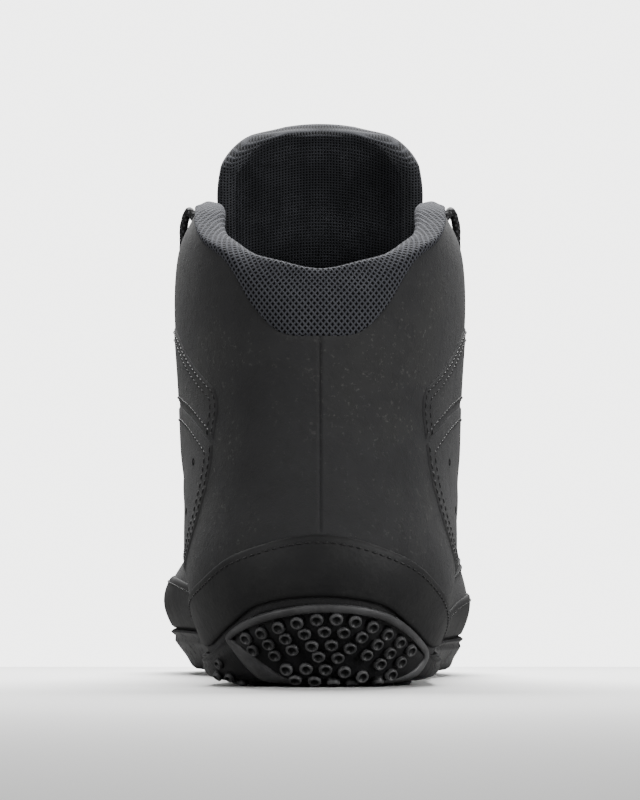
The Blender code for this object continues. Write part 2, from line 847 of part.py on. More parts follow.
def make_insole(home):
    ring = []
    for column in columns_round():
        rib = signed(column)
        point = off(rib, 0.0, -UPPER_WALL - INSOLE_PLAY)
        point[2] = skin(rib, 0.0)[2]
        ring.append(point)
    raised = [point + np.array((0.0, 0.0, INSOLE_THICKNESS)) for point in ring]
    verts = ring + raised
    faces = cap_strips(list(range(AROUND)), False)
    faces += cap_strips(list(range(AROUND, 2 * AROUND)), True)
    for i in range(AROUND):
        n = (i + 1) % AROUND
        faces.append((i, n, AROUND + n, AROUND + i))
    return finish(new_object("insole", verts, faces, home))


def collar_section(rib, fade):
    """Padded roll over the leather's edge; fade thins it towards its ends."""
    edge = edge_rise(rib)
    _, upward = slopes(rib, edge)
    per_mm = 1.0 / np.linalg.norm(upward)
    height = read(COLLAR_RIM, rib, SHAFT_HEIGHT) - skin(rib, edge)[2]
    height = max(height, 2.0)
    pad = COLLAR_PAD * fade
    depth = COLLAR_DEPTH * fade
    inner = -UPPER_WALL - 2.0 * FIT - 0.15

    def at(up, lift):
        rise = edge + up * per_mm
        if rise <= 1.0:
            return off(rib, rise, lift)
        return off(rib, 1.0, lift) + unit(upward) * (rise - 1.0) / per_mm

    return [
        at(2.0 * FIT, -0.25),
        at(0.45 * height, 0.5 * fade),
        at(0.85 * height, -0.2 * pad),
        at(height, -0.5 * pad - 0.5),
        at(0.85 * height, -0.85 * pad - 1.0),
        at(0.3 * height - 2.0, -pad - 2.0),
        at(-0.5 * depth, -pad - 1.6),
        at(-0.85 * depth, -0.6 * pad - 1.9),
        at(-depth, inner - 0.9),
        at(-depth, inner),
        at(-0.5 * depth, inner),
        at(2.0 * FIT, inner),
    ]


def make_collar(home):
    reach = 10 * COLUMN
    sections = []
    for rib in columns_between(-reach, reach):
        left = min(1.0, (reach - abs(rib)) / 0.9)
        fade = 0.45 + 0.55 * left * (2.0 - left)
        sections.append(collar_section(rib, fade))
    return finish(tube_solid("collar", sections, False, home))


def throat_arc(rib):
    """Circle across the throat that continues the skin: centre, radius, half angle, axes."""
    right = skin(rib, 1.0)
    left = skin(-rib, 1.0)
    right_out = normal(rib, 1.0)
    left_out = normal(-rib, 1.0)
    across = unit(right - left)
    half = 0.5 * np.linalg.norm(right - left)
    out = right_out + left_out
    out = unit(out - across * np.dot(out, across))
    lean = 0.5 * (np.dot(right_out, across) - np.dot(left_out, across))
    half_angle = math.asin(min(0.95, max(0.15, lean)))
    radius = half / math.sin(half_angle)
    centre = 0.5 * (right + left) - out * radius * math.cos(half_angle)
    return centre, radius, half_angle, across, out


def on_arc(arc, angle, lift):
    centre, radius, _, across, out = arc
    return centre + (radius + lift) * (math.sin(angle) * across + math.cos(angle) * out)


def tongue_section(arc, reach, pad, shift):
    """Closed polygon of the tongue on a throat arc; reach is half its angle."""
    steps = 8
    outer = []
    inner = []
    for k in range(steps + 1):
        share = 2.0 * k / steps - 1.0
        angle = share * reach
        past = max(0.0, abs(angle) - arc[2]) * arc[1]
        face = -UPPER_WALL - 2.0 * FIT - 0.02 * past * past
        thickness = pad * (1.0 - 0.55 * share ** 4)
        outer.append(on_arc(arc, angle, face) + shift)
        inner.append(on_arc(arc, angle, face - thickness) + shift)
    return outer + inner[::-1]


def make_tongue(home):
    sections = []
    nothing = np.zeros(3)
    for i in range(TONGUE_STEPS + 1):
        share = i / TONGUE_STEPS
        rib = TONGUE_FIRST + (PEAK_RIB - TONGUE_FIRST) * share
        arc = throat_arc(rib)
        reach = arc[2] + read(TONGUE_MARGIN, rib) / arc[1]
        pad = TONGUE_BASE + (TONGUE_PAD - TONGUE_BASE) * share * share
        sections.append(tongue_section(arc, reach, pad, nothing))
    arc = throat_arc(PEAK_RIB)
    free_height = SHAFT_HEIGHT + TONGUE_RISE - on_arc(arc, 0.0, 0.0)[2]
    for rise, width, lean, pad in TONGUE_TOP_ROWS:
        reach = math.asin(min(0.98, width * TONGUE_HALF_WIDTH / (arc[1] - UPPER_WALL)))
        shift = np.array((0.0, lean, rise * free_height))
        sections.append(tongue_section(arc, reach, pad * TONGUE_PAD, shift))
    return finish(tube_solid("tongue", sections, False, home))


def eyelet(number, side, lift):
    """Centre of an eyelet at a distance outside the skin, with the skin's outward way."""
    rib, share, _ = EYELETS[number]
    rise = rise_at(side * rib, share * SHAFT_HEIGHT)
    return off(side * rib, rise, lift), normal(side * rib, rise)


def lace_lift():
    return OVERLAY_LIFT + OVERLAY_WALL + FIT + LACE_RADIUS


def lace_crossing(low, high, side):
    """Route from an eyelet on one side over the tongue to an eyelet on the other."""
    lift = lace_lift()
    first, _ = eyelet(low, side, lift)
    last, _ = eyelet(high, -side, lift)
    points = [first]
    for share, turn, bow in CROSSING:
        rib = EYELETS[low][2] * (1.0 - share) + EYELETS[high][2] * share
        arc = throat_arc(rib)
        points.append(on_arc(arc, side * turn * arc[2], lift + bow))
    points.append(last)
    return points


def lace_run(low, high, side):
    first, out = eyelet(low, side, lace_lift())
    last, _ = eyelet(high, side, lace_lift())
    return [first, 0.5 * (first + last) + 0.4 * out, last]


def make_lace_piece(name, points, turn, home):
    """Tube along a route, closed at both ends and turned about its own axis."""
    sections = []
    for i, point in enumerate(points):
        forward = unit(points[min(i + 1, len(points) - 1)] - points[max(i - 1, 0)])
        side = unit(np.cross(forward, LACE_UP))
        other = np.cross(side, forward)
        ring = []
        for k in range(LACE_SIDES):
            angle = 2.0 * math.pi * k / LACE_SIDES + turn
            ring.append(point + LACE_RADIUS * (side * math.cos(angle) + other * math.sin(angle)))
        sections.append(ring)
    return tube_solid(name, sections, False, home)


def lengthened(points, extra):
    """A route with its ends moved out along it, so that pieces joined there overlap."""
    first = points[0] + extra * unit(points[0] - points[1])
    last = points[-1] + extra * unit(points[-1] - points[-2])
    return [first] + points[1:-1] + [last]


def make_lace(home, tools):
    """All crossings, the bottom bar and the two outside runs, joined into one solid."""
    last = len(EYELETS) - 1
    routes = [lace_crossing(last, last, LATERAL)]
    for number in range(1, last):
        routes.append(lace_crossing(number, number + 1, LATERAL))
        routes.append(lace_crossing(number, number + 1, MEDIAL))
    routes += [lace_run(0, 1, LATERAL), lace_run(0, 1, MEDIAL)]
    lace = make_lace_piece("lace", lengthened(routes[0], 0.6 * LACE_RADIUS), 0.1, home)
    for number, route in enumerate(routes[1:]):
        longer = lengthened(route, (0.45 + 0.16 * (number % 4)) * LACE_RADIUS)
        turn = 0.25 + 0.17 * (number % 5)
        piece = make_lace_piece("lace_%02d" % number, longer, turn, tools)
        add_union(lace, piece)
    return finish(lace)


def stand_on_origin(home, tools):
    """Parent everything, cutters too, to an empty that puts the shoe's box on the origin."""
    bpy.context.view_layer.update()
    depsgraph = bpy.context.evaluated_depsgraph_get()
    corners = []
    for obj in home.objects:
        evaluated = obj.evaluated_get(depsgraph)
        corners += [evaluated.matrix_world @ vert.co for vert in evaluated.data.vertices]
    low = [min(point[k] for point in corners) for k in range(3)]
    high = [max(point[k] for point in corners) for k in range(3)]
    stand = bpy.data.objects.new("stand", None)
    stand.location = (-0.5 * (low[0] + high[0]), -0.5 * (low[1] + high[1]), -low[2])
    for obj in list(home.objects) + list(tools.objects):
        obj.parent = stand
    home.objects.link(stand)


def main():
    clear_scene()
    home = collection("wrestling_shoe")
    tools = collection("cutters")
    make_sole(home, tools)
    make_upper(home)
    make_collar(home)
    make_insole(home)
    make_tongue(home)
    overlay(
        "heel_counter", -2.9, 2.9,
        lambda rib: sole_rim(rib) + 2.3, lambda rib: read(COUNTER_TOP, rib, BULGE_HEIGHT), 4, home,
    )
    overlay(
        "toe_rand", 5.2, 2.0 * TIP - 5.2,
        lambda rib: sole_rim(rib) + 1.0, lambda rib: read(RAND_TOP, rib, BULGE_HEIGHT), 3, home,
    )
    overlay(
        "eyestay", 3.45, 2.0 * TIP - 3.45,
        lambda rib: read(EYESTAY_FOOT, rib, SHAFT_HEIGHT),
        lambda rib: skin(rib, edge_rise(rib))[2] - 0.8, 3, home,
    )
    make_lace(home, tools)
    for side, end in ((LATERAL, "outer"), (MEDIAL, "inner")):
        overlay(
            "saddle_" + end, side * 1.5, side * 4.9,
            lambda rib: read(SADDLE_FOOT, rib, SHAFT_HEIGHT),
            lambda rib: read(SADDLE_TOP, rib, SHAFT_HEIGHT), 3, home,
        )
        overlay(
            "quarter_" + end, side * 1.6, side * 6.8,
            lambda rib: read(QUARTER_FOOT, rib, SHAFT_HEIGHT),
            lambda rib: read(QUARTER_TOP, rib, SHAFT_HEIGHT), 4, home,
        )
    stand_on_origin(home, tools)


main()
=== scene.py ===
"""Dressed model of a high-top wrestling shoe for a right foot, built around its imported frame.

The toe points along +Y and the outer side of the foot is +X. The shoe's own sizes are millimetres,
and a rib is a place round the shoe: 0 at the heel's back, 11 at the toe's tip, negative on the
inner side. Rise runs from 0 at the feather line, where upper and sole meet, to 1 at the top line.
"""

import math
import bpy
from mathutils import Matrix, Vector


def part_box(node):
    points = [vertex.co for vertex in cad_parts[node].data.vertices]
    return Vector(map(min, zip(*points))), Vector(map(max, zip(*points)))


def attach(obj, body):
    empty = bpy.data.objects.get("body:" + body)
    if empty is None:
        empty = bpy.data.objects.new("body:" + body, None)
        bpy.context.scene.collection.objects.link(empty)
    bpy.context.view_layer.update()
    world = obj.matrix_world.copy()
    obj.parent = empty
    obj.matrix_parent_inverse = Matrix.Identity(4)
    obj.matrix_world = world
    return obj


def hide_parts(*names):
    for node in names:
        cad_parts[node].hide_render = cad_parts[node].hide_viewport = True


bl_info = {
    "name": "Wrestling Shoe",
    "version": (1, 0, 0),
    "blender": (4, 5, 0),
    "location": "View3D > Sidebar > Shoe",
    "description": "Builds the nubuck, mesh, rubber and lace of a wrestling shoe on its frame",
    "category": "Object",
}

import bmesh
import bpy
import numpy as np
from bpy.props import FloatProperty, FloatVectorProperty, IntProperty, PointerProperty
from mathutils import Vector
from mathutils.bvhtree import BVHTree

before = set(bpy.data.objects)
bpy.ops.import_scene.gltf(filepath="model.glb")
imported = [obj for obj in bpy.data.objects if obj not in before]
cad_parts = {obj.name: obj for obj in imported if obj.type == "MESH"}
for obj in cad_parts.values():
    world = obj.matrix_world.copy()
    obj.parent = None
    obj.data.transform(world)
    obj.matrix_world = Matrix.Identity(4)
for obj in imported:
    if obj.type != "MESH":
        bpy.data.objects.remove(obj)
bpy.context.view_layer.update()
BODY = "root"
MM = 0.001

# The last, as the part's source has it
LENGTH = 285.0
HEEL = 78.0
BALL = 105.0
SHAFT = 85.0
SHAFT_HEIGHT = 147.0
TONGUE_RISE = 31.0
BULGE_HEIGHT = 28.0
FLOOR_HEIGHT = 6.5
FIT = 0.3
UPPER_WALL = 2.0
INSOLE_THICKNESS = 3.0
INSOLE_PLAY = 0.8
RIM_WALL = 2.0
SIDE_WALL = 2.7
CORNER_WALL = 3.2
COLLAR_PAD = 7.5
COLLAR_DEPTH = 24.0
TONGUE_BASE = 3.5
TONGUE_PAD = 7.0
TONGUE_HALF_WIDTH = 33.0
TONGUE_FIRST = 10.7
TONGUE_UNDER = 8.0        # how far the tongue runs on under the vamp
SHAFT_SWELL = 2.4
SWELL_HEIGHT = 118.0
SWELL_SPREAD = 24.0
GROUND_INSET = 3.2
ARCH_RISE = 3.0
TOE_SPRING = 7.0
ARCH_RUN = (0.42, 0.075)  # shares of LENGTH: the middle of the arch and how far it spreads
OUTER_ARCH = 0.6          # share of the arch's rise on the outer side
TOE_RUN = (0.77, 0.23)    # shares of LENGTH: where the toe starts to rise, and on to its end
LUG_HEIGHT = 1.5
AROUND = 64               # columns of the source's solids, which its collar and insole follow
FIRST_TURN = 10           # the collar ends this many of those columns from the back
PEAK_RIB = 4.0            # the peak of the shaft beside the throat

# Finer make-up of the pieces, in millimetres where nothing else is said
EDGE_ROLL = 0.35          # how far a cut leather edge rolls up past its line
LINING_ROWS = 26
SEAM_COLUMNS = (0.012, 0.024, 0.036, 0.055)    # ribs, extra columns beside the centre-back seam
SEAM_VALLEY = 0.35        # half width of the seam's valley
SEAM_EDGE = (1.1, 0.7, 0.12)      # place, half width and height of the rolled edges beside it
COUNTER_GAP = 2.3         # groove between the rubber's rim and the heel counter
RAND_GAP = 0.6            # the same under the toe rand
MOULDED_LIFT = 1.0        # how far the counter and the rand stand off the upper
EYESTAY_LIFT = 0.7
PANEL_LIFT = 0.38         # the side panels are skived thin
PANEL_SUNK = 0.5          # an overlay's back lies this far under the upper's surface
COUNTER_END = 2.9         # ribs at which the overlays end
RAND_END = 5.2
EYESTAY_END = 3.45
SADDLE_END = 4.9
QUARTER_END = 6.8
THREAD_RADIUS = 0.27
THREAD_SIDES = 6
# A stitch's rings: share of its length, share of THREAD_RADIUS, height
STITCH_SHAPE = (
    (0.0, 0.35, -0.25), (0.12, 0.85, 0.0), (0.5, 1.0, 0.08), (0.88, 0.85, 0.0), (1.0, 0.35, -0.25),
)
ON_MOULDED = 1.05         # heights at which the threads lie
ON_NUBUCK = 0.12

# Each line of the last through its twelve ribs. Columns: share of LENGTH, width that the row
# follows, lateral share, medial share, height share.
FEATHER_LINE = (
    (0.065, HEEL, 0.000, 0.000, 1.00),
    (0.092, HEEL, 0.290, 0.282, 1.00),
    (0.158, HEEL, 0.410, 0.400, 1.00),
    (0.255, HEEL, 0.415, 0.375, 1.05),
    (0.350, HEEL, 0.420, 0.330, 1.15),
    (0.440, HEEL, 0.435, 0.325, 1.15),
    (0.532, BALL, 0.352, 0.270, 1.00),
    (0.632, BALL, 0.395, 0.345, 0.87),
    (0.730, BALL, 0.385, 0.400, 0.87),
    (0.828, BALL, 0.325, 0.395, 1.05),
    (0.914, BALL, 0.200, 0.315, 1.45),
    (0.954, BALL, -0.080, 0.080, 1.80),
)
WIDEST_LINE = (
    (0.009, HEEL, 0.000, 0.000, 1.04),
    (0.051, HEEL, 0.354, 0.350, 1.04),
    (0.151, HEEL, 0.500, 0.495, 1.00),
    (0.255, HEEL, 0.505, 0.487, 1.00),
    (0.350, HEEL, 0.515, 0.462, 1.00),
    (0.442, HEEL, 0.535, 0.455, 1.00),
    (0.536, BALL, 0.430, 0.365, 0.97),
    (0.638, BALL, 0.476, 0.445, 0.90),
    (0.738, BALL, 0.462, 0.508, 0.90),
    (0.842, BALL, 0.390, 0.496, 0.91),
    (0.934, BALL, 0.235, 0.380, 0.94),
    (0.991, BALL, -0.105, 0.105, 0.98),
)
SHOULDER_LINE = (
    (0.014, SHAFT, 0.000, 0.000, 0.340),
    (0.056, SHAFT, 0.320, 0.320, 0.340),
    (0.151, SHAFT, 0.455, 0.455, 0.350),
    (0.250, SHAFT, 0.490, 0.485, 0.360),
    (0.338, SHAFT, 0.505, 0.490, 0.370),
    (0.422, SHAFT, 0.505, 0.482, 0.370),
    (0.510, BALL, 0.408, 0.392, 0.355),
    (0.605, BALL, 0.392, 0.405, 0.322),
    (0.700, BALL, 0.352, 0.412, 0.297),
    (0.792, BALL, 0.290, 0.390, 0.293),
    (0.878, BALL, 0.172, 0.290, 0.296),
    (0.920, BALL, -0.095, 0.095, 0.292),
)
ANKLE_LINE = (
    (0.033, SHAFT, 0.000, 0.000, 0.560),
    (0.070, SHAFT, 0.302, 0.302, 0.570),
    (0.158, SHAFT, 0.450, 0.450, 0.585),
    (0.243, SHAFT, 0.498, 0.498, 0.610),
    (0.318, SHAFT, 0.495, 0.495, 0.650),
    (0.387, SHAFT, 0.450, 0.450, 0.620),
    (0.460, BALL, 0.325, 0.335, 0.540),
    (0.540, BALL, 0.295, 0.320, 0.470),
    (0.612, BALL, 0.262, 0.305, 0.418),
    (0.692, BALL, 0.220, 0.285, 0.380),
    (0.765, BALL, 0.130, 0.210, 0.363),
    (0.800, BALL, -0.076, 0.076, 0.358),
)
TOP_LINE = (
    (0.018, SHAFT, 0.000, 0.000, 1.020),
    (0.054, SHAFT, 0.288, 0.288, 1.020),
    (0.138, SHAFT, 0.440, 0.440, 1.020),
    (0.230, SHAFT, 0.485, 0.485, 1.020),
    (0.309, SHAFT, 0.453, 0.453, 0.995),
    (0.356, SHAFT, 0.365, 0.365, 0.840),
    (0.410, BALL, 0.240, 0.240, 0.685),
    (0.485, BALL, 0.208, 0.218, 0.575),
    (0.556, BALL, 0.190, 0.200, 0.507),
    (0.625, BALL, 0.170, 0.185, 0.459),
    (0.680, BALL, 0.100, 0.130, 0.430),
    (0.702, BALL, -0.030, 0.030, 0.418),
)
LINES = (
    (FEATHER_LINE, FLOOR_HEIGHT),
    (WIDEST_LINE, BULGE_HEIGHT),
    (SHOULDER_LINE, SHAFT_HEIGHT),
    (ANKLE_LINE, SHAFT_HEIGHT),
    (TOP_LINE, SHAFT_HEIGHT),
)
LINE_PLACES = np.array((0.0, 0.18, 0.38, 0.66, 1.0))
TIP = len(TOP_LINE) - 1

# Heights by rib. Columns: rib, lateral height, and medial height where it differs.
LEATHER_EDGE = (          # shares of SHAFT_HEIGHT
    (0.0, 0.682),
    (0.4, 0.690),
    (0.7, 0.745),
    (0.9, 0.803),
    (1.1, 0.843),
    (1.5, 0.882),
    (1.8, 0.918),
    (2.1, 0.950),
    (2.5, 0.968),
    (3.2, 0.985),
    (4.0, 1.008),
)
COLLAR_RIM = (            # shares of SHAFT_HEIGHT
    (0.0, 0.807),
    (0.7, 0.840),
    (1.2, 0.882),
    (1.5, 0.905),
    (1.8, 0.934),
    (2.1, 0.965),
    (2.5, 0.986),
    (3.0, 1.000),
    (3.5, 1.012),
    (4.0, 1.018),
)
SOLE_RIM = (              # shares of BULGE_HEIGHT
    (0.0, 0.845, 0.845),
    (0.6, 0.760, 0.760),
    (1.0, 0.540, 0.560),
    (1.5, 0.350, 0.370),
    (2.0, 0.325, 0.335),
    (4.0, 0.390, 0.420),
    (6.0, 0.440, 0.500),
    (7.0, 0.465, 0.545),
    (9.0, 0.540, 0.590),
    (11.0, 0.790, 0.790),
)
COUNTER_TOP = (           # shares of BULGE_HEIGHT
    (0.0, 1.550, 1.550),
    (0.8, 1.340, 1.370),
    (1.35, 1.060, 1.120),
    (2.0, 0.760, 0.920),
    (2.6, 0.520, 0.660),
    (3.0, 0.480, 0.560),
)
RAND_TOP = (              # shares of BULGE_HEIGHT
    (5.0, 0.560, 0.620),
    (6.0, 0.860, 0.980),
    (7.0, 0.985, 1.150),
    (8.0, 1.020, 1.210),
    (9.0, 1.090, 1.240),
    (10.0, 1.220, 1.300),
    (11.0, 1.370, 1.370),
)
SADDLE_TOP = (            # shares of SHAFT_HEIGHT
    (1.3, 0.590),
    (1.6, 0.622),
    (2.0, 0.663),
    (2.5, 0.712),
    (3.0, 0.733),
    (4.0, 0.735),
    (5.0, 0.630),
)
SADDLE_FOOT = (           # shares of SHAFT_HEIGHT
    (1.3, 0.487),
    (1.6, 0.520),
    (2.0, 0.552),
    (2.5, 0.573),
    (3.0, 0.583),
    (4.0, 0.585),
    (5.0, 0.560),
)
QUARTER_TOP = (           # shares of SHAFT_HEIGHT
    (1.3, 0.477),
    (1.6, 0.510),
    (2.0, 0.541),
    (2.5, 0.562),
    (3.0, 0.571),
    (4.0, 0.573),
    (5.0, 0.548),
    (6.0, 0.475),
    (7.0, 0.400),
)
QUARTER_FOOT = (          # shares of SHAFT_HEIGHT
    (1.6, 0.300, 0.300),
    (2.0, 0.252, 0.252),
    (2.5, 0.225, 0.225),
    (3.5, 0.205, 0.205),
    (5.0, 0.210, 0.210),
    (7.0, 0.250, 0.270),
)
EYESTAY_FOOT = (          # shares of SHAFT_HEIGHT
    (3.4, 0.925, 0.925),
    (4.0, 0.765, 0.765),
    (4.5, 0.705, 0.705),
    (5.0, 0.655, 0.655),
    (6.0, 0.535, 0.535),
    (7.0, 0.485, 0.485),
    (8.0, 0.443, 0.446),
    (9.0, 0.408, 0.410),
    (10.0, 0.388, 0.388),
    (11.0, 0.378, 0.378),
)
# The curve on which both side panels end behind. Columns: share of SHAFT_HEIGHT, rib.
PANEL_REAR = (
    (0.20, 2.35),
    (0.26, 1.90),
    (0.32, 1.58),
    (0.39, 1.38),
    (0.44, 1.30),
    (0.48, 1.28),
    (0.51, 1.26),
    (0.545, 1.22),
    (0.57, 1.23),
    (0.60, 1.32),
    (0.64, 1.55),
    (0.70, 2.30),
)
TONGUE_MARGIN = (         # millimetres past the throat's edge; less than nothing is inside it
    (4.0, -8.0),
    (4.8, -3.0),
    (5.6, 4.0),
    (7.0, 6.0),
    (10.7, 6.0),
)
# The tongue's free end above the throat. Columns: share of the free end's height, share of
# TONGUE_HALF_WIDTH, millimetres forward, share of TONGUE_PAD.
TONGUE_TOP_ROWS = (
    (0.00, 0.93, 0.0, 1.00),
    (0.14, 0.96, -1.7, 1.00),
    (0.40, 0.98, -3.2, 1.00),
    (0.63, 0.92, -3.3, 1.00),
    (0.80, 0.80, -2.7, 0.95),
    (0.92, 0.61, -1.9, 0.80),
    (1.00, 0.34, -1.2, 0.42),
)
TONGUE_COLUMNS = 45       # points across each face of the tongue
TONGUE_ROWS = 50          # rows in the throat
TONGUE_END_ROWS = 40      # rows of the free end
TONGUE_EASED = 15         # rows to either side of the bend between the two that are evened out
TONGUE_ROLLED = 20        # the rolled rim starts this many rows below the bend
TONGUE_CROWN = (0.88, 0.9, 13.0)  # share of the end where its dome starts, drop, half width
TONGUE_ROLL = (3.0, 2.2, 0.8)     # the rim's roll: in from the outline, half width, height
TONGUE_DISH = (5.4, 5.0, 1.7)     # the inner face's dish: in from the outline, slope, depth
# The band round the tongue's edge is painted paler: painted light on the rolled rim
TONGUE_PAINTED_LIGHT_BAND = 5.6         # width of the paler band round the edge
# Section of the collar from the leather's edge over the crest and down inside. Columns: up in
# shares of the rim's height, in shares of COLLAR_DEPTH and in millimetres, then out in
# millimetres that fade to the ends, in shares of the pad and in millimetres.
COLLAR_INNER = -UPPER_WALL - 2.0 * FIT - 0.15
COLLAR_ROLL = (
    (0.00, 0.00, -0.4, 0.00, 0.00, -0.1),
    (0.08, 0.00, 0.0, 0.55, 0.00, 0.0),
    (0.30, 0.00, 0.0, 1.00, 0.00, 0.0),
    (0.60, 0.00, 0.0, 0.70, 0.00, 0.0),
    (0.88, 0.00, 0.0, 0.00, -0.30, 0.0),
    (1.02, 0.00, 0.0, 0.00, -0.50, -0.5),
    (0.95, 0.00, 0.0, 0.00, -0.85, -1.0),
    (0.30, 0.00, -2.0, 0.00, -1.00, -2.2),
    (0.00, -0.50, 0.0, 0.00, -1.00, -1.8),
    (0.00, -0.85, 0.0, 0.00, -0.60, -1.9),
    (0.00, -1.00, 0.0, 0.00, 0.00, COLLAR_INNER - 0.9),
    (0.00, -1.00, 0.0, 0.00, 0.00, COLLAR_INNER),
    (0.00, -0.50, 0.0, 0.00, 0.00, COLLAR_INNER),
    (0.00, 0.00, 2.0 * FIT, 0.00, 0.00, COLLAR_INNER),
)
COLLAR_FADE = (0.45, 0.9)         # share of the pad left at the collar's ends, and ribs to its full
# Places of the eyelets. Columns: rib, share of SHAFT_HEIGHT, rib whose throat edge lies beside it.
EYELETS = (
    (3.82, 0.976, 4.30),
    (4.12, 0.900, 4.75),
    (4.75, 0.775, 5.30),
    (5.55, 0.655, 6.05),
    (6.55, 0.560, 7.00),
    (7.60, 0.498, 7.95),
    (8.70, 0.446, 8.95),
)
BREATHING_HOLES = ((-1.81, 65.7), (-2.12, 51.4), (1.96, 65.8), (2.33, 52.0))    # rib, height
EYELET_HOLE = 1.7
EYELET_WIRE = 0.55
EYELET_FOOT = 0.6         # how far an eyelet's barrel sinks in
EYELET_LIFT = 0.9         # heights over the folded skin where eyelets and breathing holes sit
HOLE_LIFT = 0.42
LACE_RADIUS = 1.3
LACE_SIDES = 14
LACE_STEPS = 40
THROAT_FACES = (0.0, 0.5, 0.87)   # way that the throat faces, to turn the lace's sections from
LACE_BOW = (               # across, along, up: the loose run outside the top eyelets
    (42.6, 89.6, 137.0),
    (42.4, 88.2, 142.2),
    (40.6, 86.4, 146.2),
)
# Route of a crossing over the throat. Columns: share of the way, share of the throat's half
# angle, and the height of the axis over the skin's curve, for the run on top and the one below.
CROSSING = (
    (0.16, 1.06, 2.6, 2.6),
    (0.34, 0.50, 0.9, -0.7),
    (0.50, 0.00, 1.5, -1.1),
    (0.66, -0.50, 0.9, -0.7),
    (0.84, -1.06, 2.6, 2.6),
)

# Soft folds of the nubuck; the first two draw the top of the shaft in. Columns: rib and height
# where a fold starts, rib and height where it ends, its half width, and its depth in
# millimetres; less than nothing is a ridge.
FOLDS = (
    (1.0, 146.0, 5.4, 146.0, 9.5, 5.2),
    (-1.0, 146.0, -5.4, 146.0, 9.5, 5.2),
    (-1.9, 84.0, 0.2, 74.0, 7.0, 0.55),
    (1.9, 80.0, 0.1, 70.0, 8.0, 0.50),
    (-1.2, 96.0, 1.0, 98.0, 9.0, -0.35),
    (-0.9, 58.0, 0.9, 54.0, 8.0, 0.35),
    (2.4, 66.0, 4.2, 60.0, 5.0, 0.60),
    (-2.3, 68.0, -4.0, 60.0, 5.0, 0.60),
    (2.6, 54.0, 4.4, 47.0, 5.5, 0.45),
    (-2.6, 54.0, -4.4, 47.0, 5.5, 0.45),
    (8.2, 37.0, 9.6, 43.0, 4.5, 0.50),
    (-8.2, 37.0, -9.6, 44.0, 4.5, 0.50),
    (7.6, 44.0, 9.0, 52.0, 4.5, 0.40),
    (-7.6, 44.0, -9.0, 52.0, 4.5, 0.40),
    (-0.5, 112.0, 0.6, 110.0, 7.0, 0.25),
)
RIB_PITCH = 24.0          # millimetres from rib to rib, near enough to place a fold

# Heel pod: a lens of lugs laid out on a plane that leans back at HEEL_LEAN
HEEL_LEAN = math.radians(45.0)
LENS_CENTRE = (2.5, -4.5)
LENS_TILT = math.radians(-9.0)
PLANE_SETBACK = 60.0
LUG_RADIUS = 1.9
LUG_PITCH = 5.432         # from lug to lug along a row of the lens
LUG_TO_RIM = 0.72         # least room beside a lug, in shares of its radius
LUG_TO_LUG = 1.95
LEAST_LUG = 0.5           # a lug with less height than this over the ground is left out
LENS_FLOOR = (-8.6, 0.0035)       # foot of the lugs' field in the middle, and how it climbs
UNDER_LUG_RADIUS = 3.4
UNDER_LUG_PITCH = 10.4
PADS = ((0.0, 52.0, 11.0), (-1.0, 190.0, 15.0))     # the flat pads' places and radii
PAD_CLEARANCE = 4.6
# A pad's section with its groove: shares of its radius, millimetres more, height
PAD_SHAPE = (
    (1.0, -0.2, -2.2), (1.0, 0.0, -1.2), (1.0, 0.0, -0.25), (1.0, -0.3, 0.0), (1.0, -1.6, 0.0),
    (1.0, -1.9, -0.3), (1.0, -2.5, -0.3), (1.0, -2.8, 0.0), (0.3, 0.0, 0.0), (0.0, 0.05, 0.0),
)
# The insole's edge, from its underside up: how far in, and height at a thickness of 3 mm
INSOLE_EDGE = ((0.25, 0.0), (0.0, 0.5), (0.0, 2.2), (0.3, 2.75), (1.2, 3.0), (3.5, 2.9))
# Rows of lugs in the lens. Columns: rise in the middle, fall per squared millimetre to either
# side, and how far the row's first lug stands from the middle.
LUG_ROWS = (
    (15.2, 0.0262, -0.3),
    (11.1, 0.0300, 2.4),
    (6.4, 0.0330, -0.3),
    (2.2, 0.0300, 2.2),
    (-2.3, 0.0200, -0.6),
    (-6.6, 0.0120, 2.4),
)
LENS_LEFT = 26.6          # reach of the rows to either side of the lens's middle
LENS_RIGHT = 26.2
# The lens's rim: places along and across it, and the rim's half width there, going round
LENS_RIM = (
    (-28.4, -3.2, 1.0),
    (-26.0, 2.6, 1.1),
    (-20.9, 9.2, 1.2),
    (-13.0, 15.0, 1.2),
    (-4.0, 17.9, 1.2),
    (5.0, 17.8, 1.2),
    (13.5, 14.9, 1.2),
    (20.6, 9.0, 1.2),
    (26.2, 1.6, 1.1),
    (29.4, -5.2, 1.2),
    (26.4, -7.9, 1.5),
    (19.3, -9.6, 1.5),
    (10.0, -10.8, 1.3),
    (0.0, -11.6, 1.2),
    (-8.0, -10.8, 1.7),
    (-15.5, -9.6, 2.6),
    (-22.0, -7.4, 2.6),
    (-27.0, -4.9, 1.5),
)
# The rim's section: across the band in half widths, and height over the cup in millimetres
RIM_SHAPE = (
    (-1.0, -0.6), (-1.0, 0.30), (-0.75, 0.62), (0.0, 0.72), (0.75, 0.62), (1.0, 0.30), (1.0, -0.6),
)
# A round lug with a rolled ring and a dished middle: shares of its radius and of its height
LUG_SHAPE = (
    (1.02, 0.35), (0.97, 0.80), (0.86, 0.98), (0.74, 1.00),
    (0.62, 0.90), (0.50, 0.62), (0.25, 0.52), (0.04, 0.50),
)
# Small lugs of the pod beside the lens
SIDE_LUGS = ((-29.2, -15.6), (-26.0, -16.8), (-22.4, -18.4), (-29.0, -20.0))
# Pods of lugs under the sole. Columns: centre across, centre along, half width, half length.
UNDER_PODS = (
    (18.5, 62.0, 7.5, 19.0),
    (-17.5, 62.0, 7.5, 19.0),
    (26.0, 184.0, 9.5, 26.0),
    (-28.0, 190.0, 9.5, 27.0),
    (-4.0, 224.0, 22.0, 12.0),
)

